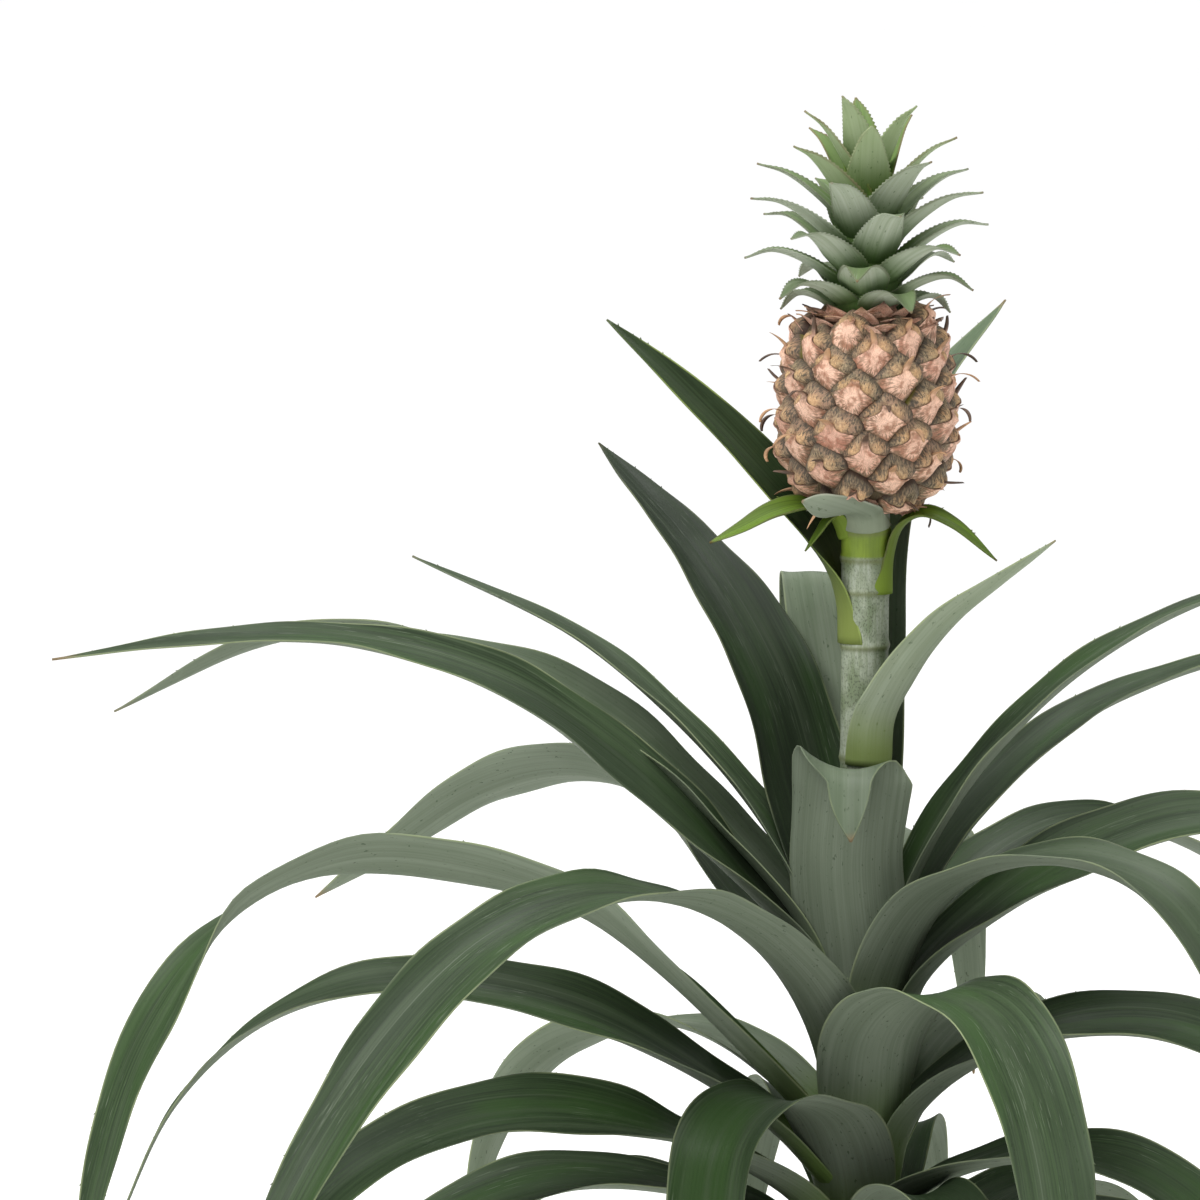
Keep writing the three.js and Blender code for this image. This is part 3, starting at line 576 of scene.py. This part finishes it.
def scale_material():
    """The fleshy scale on an eye: place is its own coordinates, part is (share of the way to the
    seam, across, tip), and look starts with how ruddy it is and how dark its tip."""
    g = Graph("fruit_scale")
    place, part, look = g.read("place", "part", "look")
    out, across, tip = g.split(part)
    ruddy, dark, _ = g.split(look)
    fibres = g.noise(place, (900, 900, 9), 3)
    lines = g.noise(place, (2300, 2300, 14), roughness=0.6)
    patch = g.noise(place, (260, 260, 14))
    specks = g.noise(place, (2600, 2600, 160), roughness=0.6)
    pale = g.math("SUBTRACT", patch, g.times(out, 0.22))
    flesh = g.over((0.42, 0.20, 0.12), (0.92, 0.60, 0.44), pale, 0.22, 0.5)
    flesh = g.mix(g.times(ruddy, 0.4), flesh, (0.48, 0.16, 0.11))
    streak = g.times(g.step(lines, 0.45, 0.58), g.step(out, 0.2, 0.75, 0.3, 0.95))
    flesh = g.mix(streak, flesh, (0.23, 0.125, 0.07))
    reach = g.plus(out, g.times(g.math("SUBTRACT", fibres, 0.5), 1.3))
    corky = g.over((0.28, 0.22, 0.13), (0.07, 0.055, 0.032), specks, 0.42, 0.58)
    flesh = g.over(flesh, corky, reach, 0.6, 0.95, 0.9)
    flesh = g.over(flesh, (0.10, 0.05, 0.03), specks, 0.62, 0.7, 0.45)
    # Dark brown at the scale's sides and where it meets the seam: partly the dark seam line, partly a
    # painted shadow under the raised upper margin.
    edge = g.math("MAXIMUM", g.step(g.size(across), 0.88, 0.98, 0.0, 0.85),
                  g.step(out, 0.89, 0.96, 0.0, 0.95))
    flesh = g.mix(edge, flesh, (0.07, 0.03, 0.015))
    dry = g.mix(dark, (0.50, 0.29, 0.15), (0.07, 0.045, 0.03))
    flesh = g.mix(tip, flesh, g.over(g.mix(0.5, dry, (0.12, 0.06, 0.03)), dry, fibres, 0.35, 0.65))
    return g.finish(flesh, 0.62, g.bump(g.plus(fibres, g.times(lines, 0.6)), 0.0005, 0.7))


def pot_material():
    g = Graph("pot_glaze")
    place = g.read("place")[0]
    cloud = g.noise(place, 40.0, 4)
    grain = g.noise(place, 900.0)
    turned = g.noise(place, (6, 6, 420))
    dots = g.make("TexVoronoi", {"Vector": place, "Scale": 260.0}).outputs["Distance"]
    skin = g.over((0.66, 0.63, 0.575), (0.74, 0.715, 0.665), cloud, 0.3, 0.7)
    skin = g.over(skin, (0.42, 0.37, 0.3), dots, 0.12, 0.06, 0.5)
    normal = g.bump(grain, 0.0002, 0.4, g.bump(turned, 0.0006, 0.35))
    return g.finish(skin, g.step(cloud, 0.3, 0.7, 0.5, 0.62), normal)


def soil_material():
    """Damp soil. look starts with 1 on its pale grains."""
    g = Graph("soil_crumbs")
    place, look = g.read("place", "look")
    clods = g.noise(place, 160.0, 4)
    grain = g.noise(place, 1400.0, 3, 0.7)
    fibre = g.noise(place, (900, 90, 300))
    skin = g.over((0.018, 0.011, 0.007), (0.07, 0.043, 0.026), clods, 0.35, 0.65)
    skin = g.over(skin, (0.13, 0.085, 0.05), grain, 0.55, 0.7, 0.6)
    skin = g.over(skin, (0.2, 0.12, 0.06), fibre, 0.62, 0.7, 0.5)
    grit = g.over((0.5, 0.48, 0.43), (0.72, 0.7, 0.65), grain, 0.3, 0.7)
    skin = g.mix(g.split(look)[0], skin, grit)
    return g.finish(skin, 0.9, g.bump(grain, 0.0012, 0.8))


# Each skin's upper, upper_deep, fresh, under, under_deep, margin and base colour come first.
LEAF_SKIN = blade_material(
    "leaf_skin", (0.03, 0.058, 0.019), (0.007, 0.019, 0.004), (0.024, 0.064, 0.01),
    (0.19, 0.225, 0.165), (0.09, 0.118, 0.072), (0.24, 0.28, 0.15), (0.1, 0.17, 0.025),
    base_share=0.15, dry=(0.2, 0.13, 0.07), gloss=0.36)
STALK_LEAF_SKIN = blade_material(
    "stalk_leaf_skin", (0.05, 0.095, 0.03), (0.022, 0.05, 0.012), (0.07, 0.14, 0.02),
    (0.34, 0.39, 0.285), (0.165, 0.215, 0.115), (0.34, 0.39, 0.2), (0.165, 0.225, 0.05),
    base_share=0.22, dry=(0.22, 0.14, 0.07), gloss=0.36)
SHEATH_SKIN = blade_material(
    "sheath_skin", (0.03, 0.052, 0.019), (0.01, 0.02, 0.006), (0.034, 0.066, 0.013),
    (0.045, 0.075, 0.028), (0.018, 0.034, 0.012), (0.3, 0.38, 0.11), (0.2, 0.25, 0.06),
    dry=(0.2, 0.13, 0.06), gloss=0.36)
BRACT_SKIN = blade_material(
    "bract_skin", (0.125, 0.215, 0.02), (0.05, 0.09, 0.01), (0.16, 0.28, 0.018),
    (0.13, 0.18, 0.035), (0.06, 0.09, 0.018), (0.12, 0.13, 0.05), (0.17, 0.25, 0.03),
    dry=(0.1, 0.05, 0.02), gloss=0.36)
CROWN_SKIN = blade_material(
    "crown_skin", (0.09, 0.14, 0.04), (0.035, 0.065, 0.015), (0.09, 0.18, 0.02),
    (0.43, 0.475, 0.37), (0.19, 0.24, 0.14), (0.15, 0.17, 0.1), (0.07, 0.16, 0.012), base_share=0.5)
HEART_SKIN = blade_material(
    "crown_heart_skin", (0.12, 0.2, 0.04), (0.05, 0.1, 0.015), (0.13, 0.25, 0.03),
    (0.39, 0.47, 0.28), (0.21, 0.29, 0.12), (0.19, 0.13, 0.07), (0.15, 0.29, 0.03), base_share=0.6)
WAXY_SKIN = blade_material(
    "waxy_bract_skin", (0.11, 0.15, 0.07), (0.05, 0.08, 0.03), (0.11, 0.17, 0.05),
    (0.24, 0.275, 0.205), (0.12, 0.15, 0.095), (0.36, 0.38, 0.3), (0.26, 0.3, 0.21))
STALK_SKINS = {"stalk_leaf_left": SHEATH_SKIN, "stalk_leaf_right": STALK_LEAF_SKIN,
               "bract_front": WAXY_SKIN}


# --- rosette and stalk leaves
for number, (name, leaf) in enumerate(LEAVES.items()):
    shape = Shape()
    look = (*leaf.get("look", USUAL_LOOK), 0)
    blade(shape, leaf, 84, number + 1, look, wave=0.9, prickles=2.2)
    finish_piece(shape, name + "_blade", LEAF_SKIN, "leaf", name)

for number, (name, leaf) in enumerate(STALK_LEAVES.items()):
    shape = Shape()
    blade(shape, dict(leaf, thick=1.6), 48, number + 61, (0.1, 1, 0), wave=0.4, prickles=6)
    finish_piece(shape, name + "_blade", STALK_SKINS.get(name, BRACT_SKIN), "stalk_leaf", name)


# --- stem and flower stalk
def bump_at(heights, middle, width):
    return np.exp(-(((heights - middle) / width) ** 2))


def stem_piece():
    top = FRUIT["bottom"] + 2
    coarse, fine, fine_above = 2.2, 0.6, 400
    heights = [STEM["bottom"]]
    while heights[-1] < top:
        heights.append(min(heights[-1] + (coarse if heights[-1] < fine_above else fine), top))
    heights = np.array(heights)
    radius = np.interp(heights, [STEM["shoulder"] - 45, STEM["shoulder"]],
                       [STEM["radius"], STEM["stalk"]])
    ring = np.zeros_like(heights)
    for node in STALK_NODES:
        radius = radius + 0.7 * bump_at(heights, node, 1.6)
        ring = np.maximum(ring, bump_at(heights, node - 0.6, 1.1))
    for scar in np.arange(112, 270, 7.5):
        near = bump_at(heights, scar, 1.2)
        radius = radius + 0.4 * near
        ring = np.maximum(ring, 0.6 * near)
    lime = smooth(heights, 447.4, 448.4) * (1 - smooth(heights, 461, 464))
    sides = 48
    turn = full_circle(sides)
    z = heights[:, None]
    wobble = 1 + 0.012 * np.sin(2 * turn + z / 23) + 0.006 * np.sin(9 * turn + z / 31)
    x, y = radius[:, None] * wobble * np.cos(turn), radius[:, None] * wobble * np.sin(turn)
    shape = Shape()
    shape.add(triples(x, y, z), tube_faces(len(heights), sides), triples(x * MM, z * MM, y * MM),
              triples(lime[:, None], 0.7 * ring[:, None], np.broadcast_to(z * MM, x.shape)))
    finish_piece(shape, "stem_skin", stalk_material(), "stalk", "stem")


stem_piece()


# --- fruit
GREEN_SEAMS = 0.14
EYE_SEED, LOOSE_SEED = 0.31, 0.43
SHOULDER_SCALES, SHOULDER_HEIGHT = 56, 542.5
# Rings of scales under the fruit: how many, then the limits of each one's start, height, length,
# lean and breadth.
FOOT_SCALES = [(18, (11, 15), (464.5, 466), (10, 13), (0.72, 0.9), (5.5, 7)),
               (16, (17, 19), (469, 471), (8, 10), (0.5, 0.7), (6, 7.5))]


def fruit_radius(q):
    low = max(0, 1 - (1 - min(q / 0.42, 1)) ** 2.3) ** 0.55
    high = max(0, 1 - max(0, (q - 0.42) / 0.7) ** 2.6) ** 0.5
    return FRUIT["core"] * min(low, 1) * high


def eye_reach(angle):
    """How far an eye reaches from its middle, with its six corners a little rounded."""
    total = 0.0
    for direction, distance in EYE_SIDES:
        total = total + (np.maximum(0, np.cos(angle - math.radians(direction))) / distance) ** 9
    return total ** (-1 / 9)


def eye_height(x, y, out, form):
    """Height of an eye's skin above the flesh. out is the share of the way to the seam."""
    low = smooth(1.5 - y, 0, 4)
    dome = -2.2 + 6.2 * above_zero(1 - out ** lerp(6, 2.3, low)) ** lerp(0.6, 0.95, low)
    lobes = 0.0
    for hand in (-1, 1):
        size = form[hand]
        off = ((x - form["lean"] - hand * 4.1) / (3.9 * size)) ** 2 + ((y - 3.0) / (3.9 * size)) ** 2
        lobes = np.maximum(lobes, above_zero(1 - off) ** 0.75)
    swell = 1.1 * np.exp(-((x / 5) ** 2 + ((y + 2) / 3.6) ** 2))
    return dome + (2.1 * lobes + swell) * above_zero(1 - out ** 5)


def eye_span(y):
    """The left and right limits of an eye at a height y across it."""
    left, right = -99.0, 99.0
    for direction, distance in EYE_SIDES:
        across, along = math.cos(math.radians(direction)), math.sin(math.radians(direction))
        limit = (distance - y * along) / across
        left, right = (max(left, limit), right) if across < 0 else (left, min(right, limit))
    return left, right


class Eye:
    """The place of one eye on the fruit's spiral."""

    def __init__(self, index):
        q = lerp(0.05, 0.95, (index + 0.5) / FRUIT["eyes"])
        angle = -index * GOLDEN_ANGLE
        radius = fruit_radius(q)
        flare = fruit_radius(q + 0.03) - fruit_radius(q - 0.03)
        tilt = math.atan2(flare, 0.06 * (FRUIT["top"] - FRUIT["bottom"]))
        level, self.side = level_pair(angle)
        self.out = level * math.cos(tilt) - UP * math.sin(tilt)
        self.up = np.cross(self.out, self.side)
        self.centre = level * radius + UP * lerp(FRUIT["bottom"], FRUIT["top"], q)
        self.narrow = min(1, (radius + 4) / (FRUIT["core"] + 4))
        self.share = q

    def nudge(self, draw):
        """Sets the eye a little off its exact place, as each grew."""
        turn = draw.uniform(-0.2, 0.2)
        self.side, self.up = (self.side * math.cos(turn) + self.up * math.sin(turn),
                              self.up * math.cos(turn) - self.side * math.sin(turn))
        self.centre = (self.centre + self.side * draw.uniform(-0.9, 0.9)
                       + self.up * draw.uniform(-0.9, 0.9) + self.out * draw.uniform(-1.0, 0.6))

    def at(self, x, y, height):
        x, y, height = (np.asarray(v, float)[..., None] for v in (x, y, height))
        return self.centre + self.side * x * self.narrow + self.up * y + self.out * height


def berry(shape, eye, draw, number, form):
    """One eye's rounded, two-lobed skin, down into the seams."""
    turns, rings = 44, 14
    angle = full_circle(turns)
    reach = eye_reach(angle) * form["size"]
    out = np.linspace(0, 1, rings + 1)[1:, None] ** 0.85
    x, y = out * reach * np.cos(angle), out * reach * np.sin(angle)
    wobble = 0.3 * np.sin(x * 1.1 + draw.uniform(0, 6)) * np.sin(y * 0.9 + draw.uniform(0, 6))
    height = eye_height(x, y, out, form) + wobble * (1 - out)
    points = np.vstack([eye.at(0.0, 0.0, eye_height(0.0, 0.0, 0.0, form)),
                        eye.at(x, y, height).reshape(-1, 3)])
    lobe = 0.0
    for hand in (-1, 1):
        off = ((x - form["lean"] - hand * 4.2) / 4.2) ** 2 + ((y - 2.8) / 3.6) ** 2
        lobe = np.maximum(lobe, np.exp(-off))
    green = float(draw.random() < GREEN_SEAMS)
    seed = number * EYE_SEED
    place = np.vstack([[0, 0, seed], triples(x * MM, y * MM, seed)])
    part = np.vstack([[0, 0.2, 0], triples(out, lobe, green)])
    faces = [(0, 1 + k, 1 + (k + 1) % turns) for k in range(turns)]
    for i in range(rings - 1):
        here, there = 1 + i * turns, 1 + (i + 1) * turns
        for k in range(turns):
            n = (k + 1) % turns
            faces.append((here + k, there + k, there + n, here + n))
    shape.add(points, faces, place, part, (draw.random(), 0, 0))


def fruit_scale(shape, eye, draw, number, form):
    """The pointed scale that covers an eye's lower half, with its free tip."""
    beside = abs(eye.out[0]) > 0.8
    long_tip = draw.random() < (0.65 if beside else 0.3) or eye.share > 0.9
    length = draw.uniform(9, 14) if long_tip else draw.uniform(5, 9)
    start_lean = math.radians(draw.uniform(30, 60))
    end_lean = math.radians(draw.uniform(70, 210) if long_tip else draw.uniform(0, 90))
    sway = draw.uniform(-0.8, 0.8)
    body, free = 18, 14
    v = np.linspace(-1, 1, 15)
    size, lean_over = form["size"], form["lean"]
    y_low, y_top = -9.5 * size, draw.uniform(2.8, 4.6)
    neck = draw.uniform(0.15, 0.22)
    upper, lower, parts, places = [], [], [], []
    for i in range(body + free + 1):
        if i <= body:
            s = i / body
            y = lerp(y_low, y_top, s)
            left, right = (size * limit for limit in eye_span(min(y, 0) / size))
            shrink = lerp(0.98, neck, ease(y, -1.5, y_top) ** 0.75)
            x = lean_over * s + (lerp(left, right, (v + 1) / 2) - lean_over * s) * shrink
            rows = np.full_like(x, y) - 0.9 * smooth(s, 0.4, 0.9) * v**2
            share = np.minimum(np.hypot(x, rows) / eye_reach(np.arctan2(rows, x)) / size, 1)
            lift = 0.35 + 0.2 * s + 0.6 * smooth(s, 0.5, 1) * (1 - 0.6 * v**2)
            height = eye_height(x, rows, share, form) + lift
            dried, thick = 0.35 * smooth(s, 0.85, 1.0), 0.8
            tip_x, tip_y, tip_height = lean_over, y_top, float(height[len(v) // 2])
        else:
            s = (i - body) / free
            lean = lerp(start_lean, end_lean, s)
            tip_x += sway * s * length / free
            tip_y += math.cos(lean) * length / free
            tip_height += math.sin(lean) * length / free
            width = 8.5 * neck * lerp(1, 0.16, s**2.4)
            x = tip_x + v * width
            rows = np.full_like(x, tip_y)
            share = np.full_like(x, 0.2)
            height = tip_height - 0.5 * width * v**2
            dried, thick = lerp(0.35, 1.0, smooth(s, 0.0, 0.5)), lerp(1.5, 0.8, s)
        upper.append(eye.at(x, rows, height))
        lower.append(eye.at(x, rows, height - thick))
        parts.append(triples(share, v, dried))
        bearing = np.arctan2(x - lean_over, rows + 2.2)
        apart = np.hypot(x - lean_over, rows + 2.2)
        spread = 3.1 * MM * np.minimum(1, apart / 2.4)
        places.append(triples(spread * np.sin(bearing), spread * np.cos(bearing),
                              number * EYE_SEED + 5 + apart * 0.03))
    two_sided(shape, upper, lower, parts, places, (draw.random() ** 2, float(draw.random() < 0.4), 0))


def loose_scale(shape, draw, number, start, height, size, lean, broad):
    """A dried scale that stands free at the fruit's shoulder or foot. A lean of 0 is upright and
    of 1 level."""
    turn = number * GOLDEN_ANGLE + draw.uniform(-0.2, 0.2)
    level, side = level_pair(turn)
    twist = draw.uniform(-3.5, 3.5)
    over_front_bract = height < FRUIT["bottom"] + 3 and level[1] < -0.2 and level[0] < 0.6
    if over_front_bract:
        return
    v = np.linspace(-1, 1, 9)
    upper, lower, parts, places = [], [], [], []
    for s in np.linspace(0, 1, 14):
        width = lerp(broad, 0.25, smooth(s, 0.05, 1.0) ** 0.85)
        rise = size * (1.05 - 0.75 * lean) * s - 2.5 * s**3
        middle = level * (start + lean * size * s) + UP * (height + rise) + side * twist * s**2
        cup = 0.35 * width * v**2 + 0.25 * np.sin(v * 5 + number) * s
        points = middle + side * (v * width)[:, None] - level * cup[:, None] * 0.6
        upper.append(points)
        lower.append(points - UP * 0.5 - level * 0.3)
        parts.append([(0.25 + 0.4 * s, 0.9 * w, 0.75 * smooth(s, 0.45, 0.95)) for w in v])
        places.append([(w * 5 * MM, s * 9 * MM, number * LOOSE_SEED + 40) for w in v])
    two_sided(shape, upper, lower, parts, places,
              (0.2 + 0.6 * draw.random(), float(draw.random() < 0.5), 0))


def fruit_piece():
    draw = np.random.default_rng(7)
    flesh, scales = Shape(), Shape()
    for index in range(FRUIT["eyes"]):
        eye = Eye(index)
        eye.nudge(draw)
        form = {"lean": draw.uniform(-2.0, 2.0), "size": draw.uniform(1.2, 1.3),
                -1: draw.uniform(0.7, 1.15), 1: draw.uniform(0.7, 1.15)}
        berry(flesh, eye, draw, index, form)
        fruit_scale(scales, eye, draw, index, form)
    for number in range(SHOULDER_SCALES):
        outer = number % 2
        start = draw.uniform(*((20, 27) if outer else (11, 19)))
        size = draw.uniform(*((8, 13) if outer else (11, 16)))
        height = SHOULDER_HEIGHT - max(0.0, start - 21) * 0.8
        loose_scale(scales, draw, number, start, height, size, draw.uniform(0.35, 0.85),
                    draw.uniform(6.5, 9))
    for count, *limits in FOOT_SCALES:
        for number in range(count):
            loose_scale(scales, draw, number, *[draw.uniform(*pair) for pair in limits])
    profile = [(0.5, FRUIT["bottom"])]
    profile += [(max(fruit_radius(q), 9) - 0.5, lerp(FRUIT["bottom"], FRUIT["top"], q))
                for q in np.linspace(0.02, 0.995, 24)]
    profile += [(0.5, FRUIT["top"])]
    lathe(flesh, profile, 64, (0.94, 0, 0.2), (1, 0, 0))
    finish_piece(flesh, "fruit_eyes", berry_material(), "fruit", "fruit")
    finish_piece(scales, "fruit_scales", scale_material(), "fruit", "fruit")


fruit_piece()


# --- crown
def crown_leaflet(index):
    q = index / (CROWN["leaflets"] - 1)
    base = CROWN["bottom"] + lerp(0, CROWN["height"] - 6, q**1.1)
    core = lerp(CROWN["core"], 3, ease(q, 0.35, 1))
    reach = CROWN["reach"] * lerp(lerp(0.74, 1, ease(q, 0, 0.3)), 0.4, ease(q, 0.55, 1.05))
    rise = lerp(lerp(-1, 22, ease(q, 0, 0.6)), 34, ease(q, 0.5, 1))
    arch = lerp(6, 1, ease(q, 0, 0.8))
    return arc(math.degrees(index * GOLDEN_ANGLE) + 20, lerp(24, 21, q), (core - 3, base - 3),
               (lerp(core, reach, 0.3), base + 0.42 * rise + 0.7 * arch),
               (lerp(core, reach, 0.68), base + 0.8 * rise + arch), (reach, base + rise),
               wrap=46, curl=32, thick=1.8, outline="leaflet")


def crown_piece():
    shape, heart = Shape(), Shape()
    lanes = np.array([-1, -0.95, -0.8, -0.5, -0.25, 0, 0.25, 0.5, 0.8, 0.95, 1])
    heart_from = 0.72 * CROWN["leaflets"]
    for index in range(CROWN["leaflets"]):
        blade(heart if index >= heart_from else shape, crown_leaflet(index), 48, 101 + index,
              (0.25, 1, 0), lanes, wave=0.25, saw=0.7)
    bottom, wide = CROWN["bottom"], CROWN["core"]
    top = bottom + CROWN["height"]
    core = [(0.5, bottom), (wide - 1, bottom), (wide, bottom + 3), (wide - 1.5, lerp(bottom, top, 0.4)),
            (4, top), (0.5, top)]
    lathe(shape, rounded(core), 48, (0.05, 0.0, 0.01), (0, 0.8, 0))
    finish_piece(shape, "crown_leaves", CROWN_SKIN, "crown", "crown")
    finish_piece(heart, "crown_heart", HEART_SKIN, "crown", "crown")


crown_piece()


# --- pot and soil
def pot_piece():
    shoulder = POT["height"] - POT["rim_depth"]
    neck = POT["top"] - POT["rim_proud"]
    mouth = POT["top"] - POT["wall"]
    profile = [(0.5, 0), (POT["base"] - 2, 0), (POT["base"], 2), (neck, shoulder),
               (POT["top"], shoulder + 1.5), (POT["top"], POT["height"] - 1.5),
               (POT["top"] - 1.5, POT["height"]), (mouth, POT["height"]),
               (mouth - POT["rim_proud"] + 1, shoulder), (POT["base"] - POT["wall"], POT["floor"]),
               (0.5, POT["floor"])]
    shape = Shape()
    lathe(shape, rounded(profile, 5, 0.35), 128)
    finish_piece(shape, "pot_shell", pot_material(), "pot", "pot")


def crumb(draw, middle, size):
    """Points and faces of an angular lump of soil."""
    corners = unit(draw.normal(size=(10, 3))) * size * draw.uniform(0.7, 1.0, (10, 1))
    lump = bmesh.new()
    for corner in corners * np.array([1.0, 1.0, 0.6]) + middle:
        lump.verts.new(corner)
    bmesh.ops.convex_hull(lump, input=lump.verts)
    loose = [v for v in lump.verts if not v.link_faces]
    bmesh.ops.delete(lump, geom=loose, context="VERTS")
    lump.verts.index_update()
    points = np.array([v.co[:] for v in lump.verts])
    faces = [[v.index for v in f.verts] for f in lump.faces]
    lump.free()
    return points, faces


def soil_piece():
    draw = np.random.default_rng(11)
    inner = POT["top"] - POT["wall"] - POT["rim_proud"] + 0.4
    rings, sides = 46, 150
    waves = [(draw.uniform(0.15, 1.1), draw.uniform(0, FULL_TURN), draw.uniform(0, 6))
             for _ in range(40)]

    def height(x, y):
        z = SOIL["top"] + SOIL["mound"] * (1 - smooth(np.hypot(x, y), 12, inner))
        for pitch, way, phase in waves:
            z = z + 0.22 * np.sin(pitch * (x * math.cos(way) + y * math.sin(way)) + phase)
        return z

    turn = full_circle(sides)
    radius = np.linspace(STEM["radius"] - 0.5, inner, rings)
    radius = np.concatenate([radius[:1], radius, radius[-1:]])[:, None]
    x, y = radius * np.cos(turn), radius * np.sin(turn)
    z = height(x, y)
    z[[0, -1]] = SOIL["top"] - SOIL["depth"]
    points = triples(x, y, z)
    shape = Shape()
    shape.add(points, tube_faces(rings + 2, sides, closed_ends=False), points * MM)
    for _ in range(SOIL["crumbs"]):
        r = math.sqrt(draw.uniform(15**2, (inner - 2.5) ** 2))
        a = draw.uniform(0, FULL_TURN)
        size = draw.uniform(0.8, 2.6)
        pale = float(draw.random() < 0.14)
        x, y = r * math.cos(a), r * math.sin(a)
        points, faces = crumb(draw, np.array([x, y, float(height(x, y)) + 0.2 * size]), size)
        shape.add(points, faces, points * MM, look=(pale, 0, 0))
    finish_piece(shape, "soil_top", soil_material(), "soil", "soil")


pot_piece()
soil_piece()


# --- floor, light and camera
def floor():
    g = Graph("studio_floor")
    cloud = g.noise(g.make("NewGeometry").outputs["Position"], 3.0)
    colour = g.over((0.935, 0.935, 0.935), (0.95, 0.95, 0.95), cloud, 0.3, 0.7)
    half = 120
    corners = [(-half, -half, 0), (half, -half, 0), (half, half, 0), (-half, half, 0)]
    mesh = bpy.data.meshes.new("floor")
    mesh.from_pydata(corners, [], [(0, 1, 2, 3)])
    mesh.materials.append(g.finish(colour, 0.75, g.bump(cloud, 0.0005, 0.1)))
    ground = put("floor", mesh)


def put_aimed(name, data, place, aim):
    made = put(name, data)
    made.location = place
    made.rotation_euler = (Vector(aim) - Vector(place)).to_track_quat("-Z", "Y").to_euler()
    return made


def lamp(name, kind, energy, place, aim, **settings):
    data = bpy.data.lights.new(name, kind)
    data.energy = energy
    for key, value in settings.items():
        setattr(data, key, value)
    put_aimed(name, data, place, aim)


def studio():
    world = bpy.data.worlds.new("studio")
    world.use_nodes = True
    shade = world.node_tree.nodes["Background"]
    shade.inputs["Color"].default_value = (1.0, 1.0, 1.0, 1.0)
    shade.inputs["Strength"].default_value = 0.4
    bpy.context.scene.world = world
    area = dict(kind="AREA", shape="RECTANGLE")
    lamp("sky_soft", "SUN", 2.5, (-0.8, -0.9, 3.2), (0, 0, 0.3), angle=math.radians(60))
    lamp("key", energy=25, place=(-1.4, -1.2, 2.3), aim=(0, 0, 0.35), size=1.2, size_y=0.9, **area)
    lamp("fill", energy=6, place=(1.8, -1.5, 1.2), aim=(0, 0, 0.35), size=1.4, size_y=1.4, **area)
    lamp("top", energy=26, place=(0.2, 1.1, 2.5), aim=(0, 0, 0.4), size=2.2, size_y=1.0, **area)


def camera():
    """At 7 degrees above level, aimed at the middle of the photograph."""
    rise, distance = math.radians(7), 2.2
    aim = Vector((-0.106, 0, 0.43))
    data = bpy.data.cameras.new("camera")
    data.sensor_width = 36
    data.lens = 165
    data.clip_end = 500
    place = aim + distance * Vector((0, -math.cos(rise), math.sin(rise)))
    bpy.context.scene.camera = put_aimed("camera", data, place, aim)


floor()
studio()
camera()
bpy.context.scene.view_settings.view_transform = "Standard"
